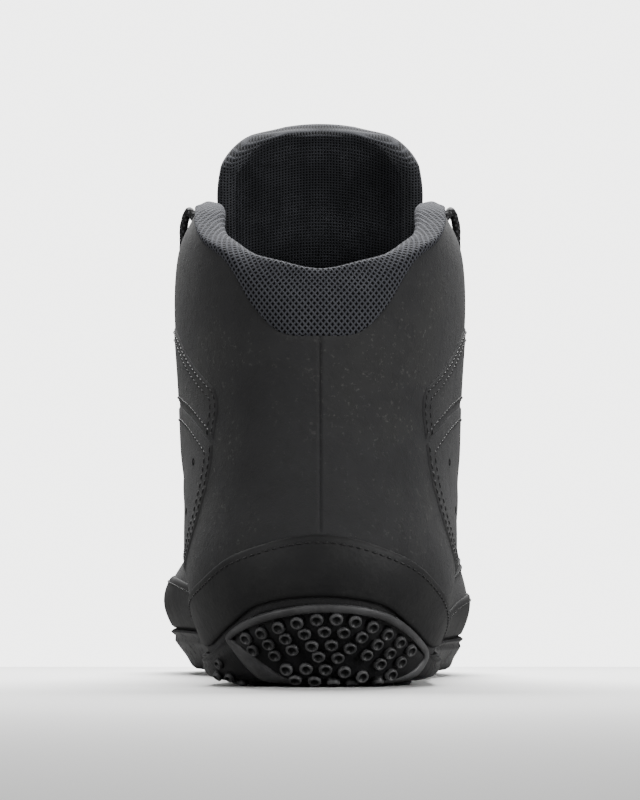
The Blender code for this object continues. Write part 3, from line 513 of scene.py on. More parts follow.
# The photograph's view: behind the heel, low over the floor
CAMERA_BACK = 870.0       # behind the heel's back
CAMERA_HEIGHT = 22.0
CAMERA_LENS = 139.0
CAMERA_PITCH = math.radians(3.9)
FLOOR_FRONT = 1.6         # metres from the last's heel forward to the viewer, and beyond the shoe
FLOOR_BACK = 0.345
FLOOR_HALF_WIDTH = 1.8
LAMPS_AIM = (0.0, 0.0, 0.08)
LAMPS = (                 # name, place, size, degrees of spread, watts
    ("top_softbox", (0.0, 0.20, 0.50), (0.60, 0.30), 112.0, 6.6),
    ("left_softbox", (-0.85, -0.70, 0.45), (0.5, 0.7), 32.0, 0.54),
    ("right_softbox", (0.90, -0.60, 0.45), (0.5, 0.7), 32.0, 0.98),
)


def line_points(line, height):
    """The closed ring of points of one line: lateral ribs to the tip, then medial ribs back."""
    lateral = [(w * out, y * LENGTH, z * height) for y, w, out, _, z in line]
    medial = [(-w * inn, y * LENGTH, z * height) for y, w, _, inn, z in line]
    return np.array(lateral + medial[-2:0:-1])


def ring_bends(ring):
    """Second derivatives of the smooth periodic cubic through a ring of points."""
    count = len(ring)
    system = 4.0 * np.eye(count) + np.roll(np.eye(count), 1, axis=0) + np.roll(np.eye(count), -1, axis=0)
    change = np.roll(ring, -1, axis=0) - 2.0 * ring + np.roll(ring, 1, axis=0)
    return np.linalg.solve(system, 6.0 * change)


def open_bends(places):
    """Matrix from values at the places to the natural cubic's second derivatives there."""
    count = len(places)
    system = np.eye(count)
    source = np.zeros((count, count))
    for i in range(1, count - 1):
        before = places[i] - places[i - 1]
        after = places[i + 1] - places[i]
        system[i, i - 1:i + 2] = before, 2.0 * (before + after), after
        source[i, i - 1:i + 2] = 6.0 / before, -6.0 / before - 6.0 / after, 6.0 / after
    return np.linalg.solve(system, source)


RINGS = np.array([line_points(line, height) for line, height in LINES])
RING_BENDS = np.array([ring_bends(ring) for ring in RINGS])
RIB_BENDS = open_bends(LINE_PLACES)


def skin(ribs, rises):
    """Points of the upper's outer skin for arrays of ribs and rises."""
    ribs, rises = np.broadcast_arrays(np.asarray(ribs, float), np.asarray(rises, float))
    shape = ribs.shape
    ribs = ribs.ravel()
    rises = rises.ravel()
    place = ribs % (2.0 * TIP)
    low = np.floor(place).astype(int) % (2 * TIP)
    high = (low + 1) % (2 * TIP)
    t = (place - np.floor(place))[:, None]
    s = 1.0 - t
    values = s * RINGS[:, low] + t * RINGS[:, high]
    values = values + ((s ** 3 - s) * RING_BENDS[:, low] + (t ** 3 - t) * RING_BENDS[:, high]) / 6.0
    bends = np.einsum("ij,jnk->ink", RIB_BENDS, values)
    row = np.clip(np.searchsorted(LINE_PLACES, rises) - 1, 0, len(LINE_PLACES) - 2)
    pick = np.arange(len(ribs))
    span = LINE_PLACES[row + 1] - LINE_PLACES[row]
    t = ((rises - LINE_PLACES[row]) / span)[:, None]
    s = 1.0 - t
    point = s * values[row, pick] + t * values[row + 1, pick]
    bend = (s ** 3 - s) * bends[row, pick] + (t ** 3 - t) * bends[row + 1, pick]
    point = point + bend * span[:, None] ** 2 / 6.0
    swell = SHAFT_SWELL * np.exp(-((point[:, 2] - SWELL_HEIGHT) / SWELL_SPREAD) ** 2)
    point[:, 0] += swell * point[:, 0] / (0.5 * SHAFT)
    return point.reshape(shape + (3,))


def unit(vectors):
    """Vectors brought to length 1."""
    return vectors / np.linalg.norm(vectors, axis=-1, keepdims=True)


def slopes(ribs, rises):
    """Directions along the shoe and up the ribs."""
    ribs, rises = np.broadcast_arrays(np.asarray(ribs, float), np.asarray(rises, float))
    step = 0.01
    along = (skin(ribs + step, rises) - skin(ribs - step, rises)) / (2.0 * step)
    low = np.maximum(0.0, rises - step)
    high = np.minimum(1.0, rises + step)
    upward = (skin(ribs, high) - skin(ribs, low)) / (high - low)[..., None]
    return along, upward


def normal(ribs, rises):
    """Ways that the plain skin faces."""
    along, upward = slopes(ribs, rises)
    return unit(np.cross(along, upward))


def off(ribs, rises, lift):
    """Points at a distance outside the plain skin."""
    return skin(ribs, rises) + np.asarray(lift, float)[..., None] * normal(ribs, rises)


def fold_depth(ribs, heights):
    """How far the folds press the surface in, in millimetres."""
    ribs, heights = np.broadcast_arrays(np.asarray(ribs, float), np.asarray(heights, float))
    across = np.where(ribs > TIP, ribs - 2.0 * TIP, ribs) * RIB_PITCH
    pressed = np.zeros(across.shape)
    for rib_a, height_a, rib_b, height_b, width, depth in FOLDS:
        start = np.array((rib_a * RIB_PITCH, height_a))
        way = np.array((rib_b * RIB_PITCH, height_b)) - start
        share = ((across - start[0]) * way[0] + (heights - start[1]) * way[1]) / way.dot(way)
        share = np.clip(share, 0.0, 1.0)
        far = np.hypot(across - start[0] - share * way[0], heights - start[1] - share * way[1])
        fade = 0.35 + 0.65 * np.sin(np.pi * share)
        pressed += depth * fade * np.exp(-(far / width) ** 2)
    return pressed


def dressed(ribs, rises, lift):
    """Points on the folded surface at a distance outside it."""
    heights = skin(ribs, rises)[..., 2]
    return off(ribs, rises, np.asarray(lift, float) - fold_depth(ribs, heights))


def rise_at(ribs, heights):
    """Rises at which ribs reach heights."""
    ribs, heights = np.broadcast_arrays(np.asarray(ribs, float), np.asarray(heights, float))
    low = np.zeros(ribs.shape)
    high = np.ones(ribs.shape)
    for _ in range(24):
        middle = 0.5 * (low + high)
        under = skin(ribs, middle)[..., 2] < heights
        low = np.where(under, middle, low)
        high = np.where(under, high, middle)
    return 0.5 * (low + high)


def signed(ribs):
    """Places past the tip read as medial ones."""
    ribs = np.asarray(ribs, float)
    return np.where(ribs > TIP, ribs - 2.0 * TIP, ribs)


def read(table, ribs, scale=1.0):
    """Fair curve through a table by rib, lateral or medial by the rib's sign."""
    table = np.array(table)
    places = table[:, 0]
    ribs = np.asarray(ribs, float)
    place = np.clip(np.abs(ribs), places[0], places[-1])
    low = np.clip(np.searchsorted(places, place) - 1, 0, len(places) - 2)
    span = places[low + 1] - places[low]
    t = (place - places[low]) / span
    results = []
    for values in (table[:, 1], table[:, -1]):
        slope = np.empty(len(places))
        slope[1:-1] = (values[2:] - values[:-2]) / (places[2:] - places[:-2])
        slope[0] = 0.0 if places[0] in (0.0, TIP) else (values[1] - values[0]) / (places[1] - places[0])
        slope[-1] = 0.0
        if places[-1] != TIP:
            slope[-1] = (values[-1] - values[-2]) / (places[-1] - places[-2])
        bend = (2 * t ** 3 - 3 * t ** 2 + 1) * values[low] + (3 * t ** 2 - 2 * t ** 3) * values[low + 1]
        bend += (t ** 3 - 2 * t ** 2 + t) * slope[low] * span
        bend += (t ** 3 - t ** 2) * slope[low + 1] * span
        results.append(bend)
    return np.where(ribs >= 0, results[0], results[1]) * scale


def edge_rise(ribs):
    """Rise of the leather's cut edge: along the collar, and full at the throat."""
    edge = rise_at(ribs, read(LEATHER_EDGE, ribs, SHAFT_HEIGHT))
    return np.where(np.abs(ribs) >= PEAK_RIB, 1.0, edge)


def sole_rim(ribs):
    """Heights of the rubber's top edge."""
    return read(SOLE_RIM, ribs, BULGE_HEIGHT)


def between(places, values, bends, where):
    """Rows of the cubic through values at places, for an array of places in between."""
    low = np.clip(np.searchsorted(places, where) - 1, 0, len(places) - 2)
    span = (places[low + 1] - places[low])[:, None]
    t = (where - places[low])[:, None] / span
    s = 1.0 - t
    line = s * values[low] + t * values[low + 1]
    return line + ((s ** 3 - s) * bends[low] + (t ** 3 - t) * bends[low + 1]) * span * span / 6.0


def find_shift():
    """From the last's own millimetres to the frame: the insole's corner in both says how far."""
    ribs = signed(2.0 * TIP * np.arange(AROUND) / AROUND)
    ring = off(ribs, np.zeros(AROUND), np.full(AROUND, -UPPER_WALL - INSOLE_PLAY))
    ring[:, 2] = skin(ribs, np.zeros(AROUND))[:, 2]
    return np.array(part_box("insole")[0]) - ring.min(axis=0) * MM


SHIFT = find_shift()


def to_frame(points):
    """Points of the last in metres, in the frame."""
    return np.asarray(points, float) * MM + SHIFT


def linear(code):
    """Scene-linear colour of an sRGB hex value."""
    parts = [int(code[i:i + 2], 16) / 255.0 for i in (1, 3, 5)]
    parts = [p / 12.92 if p <= 0.04045 else ((p + 0.055) / 1.055) ** 2.4 for p in parts]
    return (*parts, 1.0)


def srgb(colour):
    """Hex code of a colour picked in the panel, which Blender keeps in scene-linear form."""
    parts = [12.92 * c if c <= 0.0031308 else 1.055 * c ** (1 / 2.4) - 0.055 for c in colour[:3]]
    return "#" + "".join("%02x" % round(255.0 * min(1.0, max(0.0, p))) for p in parts)


def node(tree, kind, sockets=None, out=0, stops=None, **settings):
    """Adds a node and gives one of its outputs; sockets maps its inputs to values or outputs."""
    made = tree.nodes.new("ShaderNode" + kind)
    for name, value in settings.items():
        setattr(made, name, value)
    for place, value in (sockets or {}).items():
        if isinstance(value, bpy.types.NodeSocket):
            tree.links.new(value, made.inputs[place])
        else:
            made.inputs[place].default_value = value
    if stops:
        points = made.color_ramp.elements
        while len(points) < len(stops):
            points.new(0.5)
        for point, (share, code) in zip(points, stops):
            point.position = share
            point.color = linear(code)
    return made.outputs[out]


def blank_material(name, **shader_values):
    """A material with a Principled shader, set to the given values, its tree and its place in mm."""
    made = bpy.data.materials.new(name)
    made.use_nodes = True
    tree = made.node_tree
    shader = tree.nodes["Principled BSDF"]
    for socket, value in shader_values.items():
        shader.inputs[socket.replace("_", " ")].default_value = value
    place = node(tree, "VectorMath", {0: node(tree, "TexCoord", out=3), "Scale": 1.0 / MM}, operation="SCALE")
    return made, tree, shader, place


def blotches(tree, place, size, low, high, detail=4.0, rough=0.6):
    """Cloudy patches about size millimetres across: 0 outside them and 1 within."""
    sockets = {"Vector": place, "Scale": 1.0 / size, "Detail": detail, "Roughness": rough}
    cloud = node(tree, "TexNoise", sockets)
    return node(tree, "MapRange", {0: cloud, 1: low, 2: high}, interpolation_type="SMOOTHSTEP")


def relief(tree, layers):
    """Layers of fine height, each a height and its depth in millimetres, as one normal."""
    facing = None
    for height, depth in layers:
        sockets = {"Height": height, "Distance": depth * MM}
        if facing is not None:
            sockets["Normal"] = facing
        facing = node(tree, "Bump", sockets)
    return facing


def dress(tree, shader, colour, rough, layers):
    """Joins a material's colour, roughness and relief to its shader."""
    tree.links.new(colour, shader.inputs["Base Color"])
    if rough is not None:
        tree.links.new(rough, shader.inputs["Roughness"])
    tree.links.new(relief(tree, layers), shader.inputs["Normal"])


def nubuck(name, base, pale, dark):
    """Microfibre nubuck, sanded: a fine short nap that takes light softly, cloudy and dusty.

    The nap, taken as about 0.1 mm, is drawn at 0.5 mm, so that it shows.
    """
    made, tree, shader, place = blank_material(
        name, Sheen_Weight=0.05, Sheen_Roughness=0.6, Specular_IOR_Level=0.22,
    )
    cloud = blotches(tree, place, 26.0, 0.36, 0.66)
    mottle = blotches(tree, place, 4.0, 0.42, 0.70, 5.0, 0.7)
    nap = node(tree, "TexNoise", {"Vector": place, "Scale": 1.0 / 0.5, "Detail": 3.0, "Roughness": 0.7})
    specks = blotches(tree, place, 1.5, 0.57, 0.68, 4.0, 0.75)
    colour = node(tree, "ValToRGB", {0: cloud}, stops=((0.0, dark), (0.5, base), (1.0, pale)))
    patches = node(tree, "Math", {0: mottle, 1: 0.28}, operation="MULTIPLY")
    colour = node(tree, "Mix", {0: patches, 6: colour, 7: linear(pale)}, out=2, data_type="RGBA")
    # Pale specks of chalk and lint gather in the paler clouds
    dust = node(tree, "Math", {0: specks, 1: cloud}, operation="MULTIPLY")
    dust = node(tree, "Math", {0: dust, 1: 0.50}, operation="MULTIPLY")
    colour = node(tree, "Mix", {0: dust, 6: colour, 7: linear("#636260")}, out=2, data_type="RGBA")
    rough = node(tree, "MapRange", {0: mottle, 3: 0.82, 4: 0.96})
    dress(tree, shader, colour, rough, ((nap, 0.10), (mottle, 0.10)))
    return made


def coated_synthetic(name, base, pale):
    """Polyurethane-coated synthetic, moulded warm: closer and darker than nubuck, a dull sheen.

    Its grain, taken as about 0.3 mm, is drawn at 0.8 mm, so that it shows.
    """
    made, tree, shader, place = blank_material(name, Specular_IOR_Level=0.28)
    cloud = blotches(tree, place, 14.0, 0.35, 0.70)
    scuffs = blotches(tree, place, 2.0, 0.56, 0.72, 6.0, 0.8)
    grain = node(tree, "TexNoise", {"Vector": place, "Scale": 1.0 / 0.8, "Detail": 3.0, "Roughness": 0.6})
    colour = node(tree, "ValToRGB", {0: cloud}, stops=((0.0, base), (1.0, pale)))
    rubbed = node(tree, "Math", {0: scuffs, 1: cloud}, operation="MULTIPLY")
    rubbed = node(tree, "Math", {0: rubbed, 1: 0.30}, operation="MULTIPLY")
    colour = node(tree, "Mix", {0: rubbed, 6: colour, 7: linear("#545352")}, out=2, data_type="RGBA")
    rough = node(tree, "MapRange", {0: scuffs, 3: 0.60, 4: 0.80})
    dress(tree, shader, colour, rough, ((grain, 0.07), (cloud, 0.20)))
    return made


def moulded_rubber(name, base, pale, dust):
    """Moulded rubber: near black, a low soft gloss, and grey dust that stays where it rubs.

    The mould's grit, taken as about 0.1 mm, is drawn at 0.5 mm, so that it shows.
    """
    made, tree, shader, place = blank_material(name, Specular_IOR_Level=0.38)
    cloud = blotches(tree, place, 9.0, 0.35, 0.70)
    smear = blotches(tree, place, 3.0, 0.48, 0.75, 5.0, 0.75)
    grain = node(tree, "TexNoise", {"Vector": place, "Scale": 1.0 / 0.5, "Detail": 3.0, "Roughness": 0.6})
    colour = node(tree, "ValToRGB", {0: cloud}, stops=((0.0, base), (1.0, pale)))
    dusty = node(tree, "Math", {0: smear, 1: 0.28}, operation="MULTIPLY")
    colour = node(tree, "Mix", {0: dusty, 6: colour, 7: linear(dust)}, out=2, data_type="RGBA")
    rough = node(tree, "MapRange", {0: smear, 3: 0.46, 4: 0.72})
    dress(tree, shader, colour, rough, ((grain, 0.05), (smear, 0.08)))
    return made


def open_mesh(name, pitch_across, pitch_up, thread_share, thread, shade, diagonal):
    """Knitted polyester mesh over dark foam: round threads stand proud of small near-black holes, dark partly
    from the foam's own colour and partly from painted shade.

    The pitches are in millimetres, chosen so that the cloth looks as in the photograph. The yarn's
    fuzz, taken as under 0.1 mm, is drawn at 0.3 mm, so that it shows.
    """
    made, tree, shader, place = blank_material(name, Roughness=0.9, Specular_IOR_Level=0.12)
    parts = tree.nodes.new("ShaderNodeSeparateXYZ")
    tree.links.new(node(tree, "UVMap", uv_map="cloth"), parts.inputs[0])
    across = node(tree, "Math", {0: parts.outputs[0], 1: pitch_across * MM}, operation="DIVIDE")
    up = node(tree, "Math", {0: parts.outputs[1], 1: pitch_up * MM}, operation="DIVIDE")
    if diagonal:
        across, up = (
            node(tree, "Math", {0: across, 1: up}, operation="ADD"),
            node(tree, "Math", {0: across, 1: up}, operation="SUBTRACT"),
        )
    threads = []
    for run in (across, up):
        # 0 in the middle of a hole, 1 on the thread's crown
        share = node(tree, "Math", {0: run}, operation="FRACT")
        share = node(tree, "Math", {0: share, 1: 0.5}, operation="SUBTRACT")
        share = node(tree, "Math", {0: share}, operation="ABSOLUTE")
        threads.append(node(tree, "Math", {0: share, 1: 2.0}, operation="MULTIPLY"))
    crown = node(tree, "Math", {0: threads[0], 1: threads[1]}, operation="MAXIMUM")
    edge = 1.0 - thread_share
    soft = {"interpolation_type": "SMOOTHSTEP"}
    cover = node(tree, "MapRange", {0: crown, 1: edge - 0.14, 2: edge + 0.14}, **soft)
    height = node(tree, "MapRange", {0: crown, 1: edge - 0.20, 2: 1.0}, **soft)
    cloud = blotches(tree, place, 7.0, 0.35, 0.70)
    fuzz = node(tree, "TexNoise", {"Vector": place, "Scale": 1.0 / 0.3, "Detail": 2.0, "Roughness": 0.6})
    yarn = node(tree, "ValToRGB", {0: cloud}, stops=((0.0, shade), (1.0, thread)))
    yarn = node(tree, "Mix", {0: fuzz, 6: yarn, 7: linear(shade)}, out=2, data_type="RGBA")
    # The holes' near black is partly the dark foam's own colour and partly painted shade in the holes
    colour = node(tree, "Mix", {0: cover, 6: linear("#060607"), 7: yarn}, out=2, data_type="RGBA")
    dress(tree, shader, colour, None, ((height, 0.22), (fuzz, 0.03)))
    return made


def lining_cloth(name, base, pale):
    """Brushed polyester lining: flat dark cloth with a faint nap.

    The nap, taken as about 0.1 mm, is drawn at 0.7 mm, so that it shows.
    """
    made, tree, shader, place = blank_material(name, Roughness=0.95, Specular_IOR_Level=0.15)
    nap = node(tree, "TexNoise", {"Vector": place, "Scale": 1.0 / 0.7, "Detail": 3.0, "Roughness": 0.7})
    cloud = blotches(tree, place, 12.0, 0.30, 0.70)
    colour = node(tree, "ValToRGB", {0: cloud}, stops=((0.0, base), (1.0, pale)))
    dress(tree, shader, colour, None, ((nap, 0.12),))
    return made


def bonded_thread(name, base, pale):
    """Bonded polyester sewing thread, twisted: black with a small hard glint.

    The twist is drawn as a paler mottle of 0.3 mm, about half the thread's width, which is a painted glint.
    """
    made, tree, shader, place = blank_material(name, Roughness=0.5, Specular_IOR_Level=0.4)
    twist = node(tree, "TexNoise", {"Vector": place, "Scale": 1.0 / 0.3, "Detail": 2.0})
    # The paler flecks are a painted glint on the twisted thread
    colour = node(tree, "ValToRGB", {0: twist}, stops=((0.35, base), (0.7, pale)))
    dress(tree, shader, colour, None, ((twist, 0.06),))
    return made


def braided_cord(name, base, pale):
    """Round polyester braid: strands cross in a herringbone, painted paler on their crowns as a painted
    highlight and near black between them as painted shade.
    """
    made, tree, shader, place = blank_material(name, Roughness=0.7, Specular_IOR_Level=0.35)
    parts = tree.nodes.new("ShaderNodeSeparateXYZ")
    tree.links.new(node(tree, "UVMap", uv_map="cloth"), parts.inputs[0])
    turn = node(tree, "Math", {0: parts.outputs[0], 1: 4.0}, operation="MULTIPLY")
    run = node(tree, "Math", {0: parts.outputs[1], 1: 1.9 * MM}, operation="DIVIDE")
    ridges = []
    for operation in ("ADD", "SUBTRACT"):
        # 1 on a strand's crown, 0 between two strands
        strand = node(tree, "Math", {0: turn, 1: run}, operation=operation)
        strand = node(tree, "Math", {0: strand}, operation="FRACT")
        strand = node(tree, "Math", {0: strand, 1: 0.5}, operation="SUBTRACT")
        strand = node(tree, "Math", {0: strand}, operation="ABSOLUTE")
        ridges.append(node(tree, "MapRange", {0: strand, 1: 0.5, 2: 0.0}))
    height = node(tree, "Math", {0: ridges[0], 1: ridges[1]}, operation="MULTIPLY")
    # Painted shade: near black where the strands dip between each other; painted highlight: paler on their
    # crowns
    colour = node(tree, "ValToRGB", {0: height}, stops=((0.03, "#060607"), (0.25, base), (0.8, pale)))
    dress(tree, shader, colour, None, ((height, 0.25),))
    return made


def enamelled_brass(name, base, pale):
    """Rolled brass eyelet under black enamel: smooth, with a tight highlight."""
    made, tree, shader, place = blank_material(name, Coat_Weight=0.3, Coat_Roughness=0.2)
    worn = blotches(tree, place, 1.2, 0.40, 0.70)
    colour = node(tree, "ValToRGB", {0: worn}, stops=((0.0, base), (1.0, pale)))
    rough = node(tree, "MapRange", {0: worn, 3: 0.3, 4: 0.5})
    dress(tree, shader, colour, rough, ((worn, 0.02),))
    return made


def shoe_material(kind, sizes):
    """The shoe's materials by kind, made once each."""
    if kind in bpy.data.materials:
        return bpy.data.materials[kind]
    nubuck_code = srgb(sizes.nubuck_colour)
    rubber_code = srgb(sizes.rubber_colour)
    thread_code = srgb(sizes.mesh_colour)
    makers = {
        "nubuck_sanded": lambda: nubuck(kind, nubuck_code, "#353535", "#2f2f30"),
        "nubuck_panel": lambda: nubuck(kind, nubuck_code, "#343434", "#2d2d2e"),
        "synthetic_moulded": lambda: coated_synthetic(kind, "#1f1f20", "#272727"),
        "rubber_moulded": lambda: moulded_rubber(kind, rubber_code, "#18181a", "#2a2a2a"),
        "rubber_rubbed": lambda: moulded_rubber(kind, "#3d3d3e", "#505051", "#62615f"),
        "polyester_knit_diamond": lambda: open_mesh(kind, 1.7, 2.0, 0.42, thread_code, "#4a4b50", True),
        # The two square knits are one cloth in two tones: the paler is painted light on the tongue's rolled
        # rim, the darker is painted shade on its dished inner face
        "polyester_knit_square": lambda: open_mesh(kind, 0.95, 0.95, 0.46, "#393a3e", "#27282b", False),
        "polyester_knit_square_painted_light": lambda: open_mesh(
            kind, 0.95, 0.95, 0.50, "#47484c", "#36373a", False,
        ),
        "lining_brushed": lambda: lining_cloth(kind, "#0d0d0e", "#171718"),
        "insole_brushed": lambda: lining_cloth(kind, "#161617", "#222223"),
        "thread_bonded": lambda: bonded_thread(kind, "#0c0c0d", "#262627"),
        "cord_braided": lambda: braided_cord(kind, "#1c1c1e", "#4a4a4d"),
        "brass_enamelled": lambda: enamelled_brass(kind, "#121213", "#2a2a2b"),
    }
    return makers[kind]()


def mesh_piece(name, points, faces, materials, marks=None, uvs=None, slot=None, replaces=()):
    """Object from points in the last's millimetres; marks give each face's material number."""
    mesh = bpy.data.meshes.new(name)
    mesh.from_pydata(to_frame(points).tolist(), [], faces)
    for one in materials:
        mesh.materials.append(one)
    if marks is not None:
        mesh.polygons.foreach_set("material_index", np.asarray(marks, np.int32))
    if uvs is not None:
        layer = mesh.uv_layers.new(name="cloth")
        layer.data.foreach_set("uv", np.asarray(uvs, np.float32).ravel())
    mesh.shade_smooth()
    obj = bpy.data.objects.new(name, mesh)
    bpy.context.scene.collection.objects.link(obj)
    outward(obj)
    if replaces:
        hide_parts(*replaces)
    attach(obj, BODY)
    return obj


def outward(obj):
    """Turns every face outward."""
    build = bmesh.new()
    build.from_mesh(obj.data)
    bmesh.ops.recalc_face_normals(build, faces=build.faces)
    build.to_mesh(obj.data)
    build.free()


def tube_faces(count, size, closed):
    """Faces of a run of like rings, with caps where the run is open."""
    faces = []
    for i in range(count if closed else count - 1):
        here = i * size
        after = ((i + 1) % count) * size
        for k in range(size):
            n = (k + 1) % size
            faces.append((here + k, here + n, after + n, after + k))
    if not closed:
        faces.append(tuple(range(size))[::-1])
        faces.append(tuple((count - 1) * size + k for k in range(size)))
    return faces


def tube_uvs(faces, count, size, along, around):
    """Cloth coordinates of a run of rings: metres along the run, and round each ring."""
    uvs = []
    for face in faces:
        if len(face) > 4:
            uvs += [(along[v // size % count], around[v // size % count][v % size]) for v in face]
            continue
        i, k = divmod(face[0], size)
        after = i + 1
        last = k + 1
        uvs += [
            (along[i], around[i][k]), (along[i], around[i][last]),
            (along[after], around[min(after, count - 1)][last]),
            (along[after], around[min(after, count - 1)][k]),
        ]
    return uvs


def arc_lengths(points):
    """Lengths along runs of points, from 0; the last axis is the coordinate."""
    steps = np.linalg.norm(np.diff(points, axis=-2), axis=-1)
    zero = np.zeros(steps.shape[:-1] + (1,))
    return np.concatenate([zero, np.cumsum(steps, axis=-1)], axis=-1)


def rounded(polygons, times):
    """Chaikin's corner cutting on closed polygons, an array of sections by points."""
    for _ in range(times):
        after = np.roll(polygons, -1, axis=1)
        cut = np.stack([0.75 * polygons + 0.25 * after, 0.25 * polygons + 0.75 * after], axis=2)
        polygons = cut.reshape(polygons.shape[0], -1, 3)
    return polygons


def joined(forms):
    """Corners and faces of several forms as those of one."""
    verts = []
    faces = []
    for more, shape in forms:
        faces += [tuple(len(verts) + v for v in face) for face in shape]
        verts += list(more)
    return np.array(verts), faces


def band_faces(count, size):
    """Faces of a closed run of open sections, which leave a ring open at either edge."""
    faces = []
    for i in range(count):
        here = i * size
        after = ((i + 1) % count) * size
        faces += [(here + k, here + k + 1, after + k + 1, after + k) for k in range(size - 1)]
    return faces


def strips_across(ring):
    """Faces across a closed ring of vertex numbers, in strips from side to side."""
    ring = list(ring)
    count = len(ring)
    half = count // 2
    faces = [(ring[0], ring[1], ring[-1]), (ring[half], ring[half + 1], ring[half - 1])]
    for k in range(1, half - 1):
        faces.append((ring[k], ring[k + 1], ring[count - k - 1], ring[count - k]))
    return faces


def closed_band(count, size):
    """Faces of such a run with both rings closed."""
    faces = band_faces(count, size)
    for first in (0, size - 1):
        faces += strips_across(range(first, count * size, size))
    return faces


def build_upper(sizes):
    """Hollow nubuck upper: folded outside, rounded cut edge, plain lining inside."""
    steps = sizes.columns
    plain = 2.0 * TIP * np.arange(steps) / steps
    near_seam = np.array(SEAM_COLUMNS)
    columns = np.concatenate([plain, near_seam, 2.0 * TIP - near_seam])
    columns = np.unique(np.round(columns, 6))
    ribs = signed(columns)
    top = edge_rise(ribs)
    shares = np.linspace(0.0, 1.0, sizes.rows)
    rises = shares[None, :] * top[:, None]
    grid_ribs = np.broadcast_to(ribs[:, None], rises.shape)
    heights = skin(grid_ribs, rises)[..., 2]
    # The centre-back seam is a fine valley between two rolled edges, from the counter up
    across = np.abs(grid_ribs) * RIB_PITCH * 1.25       # ribs stand wider apart at the back
    place, width, height = SEAM_EDGE
    seam = height * np.exp(-((across - place) / width) ** 2)
    seam -= sizes.seam_depth / MM * np.exp(-(across / SEAM_VALLEY) ** 2)
    seam *= np.clip((heights - COUNTER_TOP[0][1] * BULGE_HEIGHT) / 1.5, 0.0, 1.0)
    outside = dressed(grid_ribs, rises, seam)
    edge_heights = heights[:, -1]
    lip = []
    for angle in np.radians((30.0, 60.0, 90.0, 120.0, 150.0)):
        drop = -0.5 * UPPER_WALL * (1.0 - math.cos(angle))
        lift = np.full(ribs.shape, drop) - fold_depth(ribs, edge_heights)
        up = EDGE_ROLL * math.sin(angle) * unit(slopes(ribs, top)[1])
        lip.append(off(ribs, top, lift) + up)
    inner_shares = np.linspace(1.0, 0.0, LINING_ROWS)
    inner_rises = inner_shares[None, :] * top[:, None]
    inner_ribs = np.broadcast_to(ribs[:, None], inner_rises.shape)
    inside = dressed(inner_ribs, inner_rises, np.full(inner_ribs.shape, -UPPER_WALL))
    sections = np.concatenate([outside, np.stack(lip, axis=1), inside], axis=1)
    count, size = sections.shape[:2]
    faces = tube_faces(count, size, True)
    lining_from = sizes.rows + len(lip) - 1
    marks = [1 if face[0] % size >= lining_from else 0 for face in faces]
    materials = [shoe_material("nubuck_sanded", sizes), shoe_material("lining_brushed", sizes)]
    mesh_piece(
        "upper_nubuck", sections.reshape(-1, 3), faces, materials, marks, slot="upper", replaces=("upper",),
    )


def build_collar(sizes):
    """Padded collar in open mesh, rolled over the leather's edge and down inside the shaft."""
    reach = FIRST_TURN * 2.0 * TIP / AROUND
    ribs = np.linspace(-reach, reach, sizes.collar_sections)
    least, run = COLLAR_FADE
    left = np.minimum(1.0, (reach - np.abs(ribs)) / run)
    fade = least + (1.0 - least) * left * (2.0 - left)
    edge = edge_rise(ribs)
    _, upward = slopes(ribs, edge)
    steep = np.linalg.norm(upward, axis=1)
    height = np.maximum(read(COLLAR_RIM, ribs, SHAFT_HEIGHT) - skin(ribs, edge)[:, 2], 2.0)
    pad = COLLAR_PAD * fade
    depth = COLLAR_DEPTH * fade

    def at(up, lift):
        rise = edge + up / steep
        within = np.minimum(rise, 1.0)
        past = np.maximum(rise - 1.0, 0.0) * steep
        drawn_in = fold_depth(ribs, skin(ribs, within)[:, 2])
        return off(ribs, within, lift - drawn_in) + past[:, None] * unit(upward)

    sections = np.stack([
        at(share * height + deep * depth + up, soft * fade + thick * pad + out)
        for share, deep, up, soft, thick, out in COLLAR_ROLL
    ], axis=1)
    sections = rounded(sections, 3)
    count, size = sections.shape[:2]
    faces = tube_faces(count, size, False)
    loop = np.concatenate([sections, sections[:, :1]], axis=1)
    around = arc_lengths(loop)
    crest = sections[..., 2].argmax(axis=1)
    pick = np.arange(count)
    around = (around - around[pick, crest][:, None] + sections[pick, crest, 2][:, None]) * MM
    level = skin(ribs, rise_at(ribs, np.full(count, SWELL_HEIGHT)))
    along = arc_lengths(level) * MM
    uvs = tube_uvs(faces, count, size, along, around)
    padding = mesh_piece(
        "collar_mesh", sections.reshape(-1, 3), faces, [shoe_material("polyester_knit_diamond", sizes)],
        None, uvs, "collar", ("collar",),
    )


def throat_arc(rib):
    """Circle across the throat that continues the skin: centre, radius, half angle, axes."""
    right, left = skin(np.array((rib, -rib)), np.ones(2))
    right_out, left_out = normal(np.array((rib, -rib)), np.ones(2))
    across = unit(right - left)
    half = 0.5 * np.linalg.norm(right - left)
    out = right_out + left_out
    out = unit(out - across * np.dot(out, across))
    lean = 0.5 * (np.dot(right_out, across) - np.dot(left_out, across))
    half_angle = math.asin(min(0.95, max(0.15, lean)))
    radius = half / math.sin(half_angle)
    centre = 0.5 * (right + left) - out * radius * math.cos(half_angle)
    return centre, radius, half_angle, across, out


def on_arc(arc, angles, lifts):
    """Points at angles from the middle of such a circle and at lifts over it."""
    centre, radius, _, across, out = arc
    angles = np.asarray(angles, float)[..., None]
    way = np.sin(angles) * across + np.cos(angles) * out
    return centre + (radius + np.asarray(lifts, float)[..., None]) * way


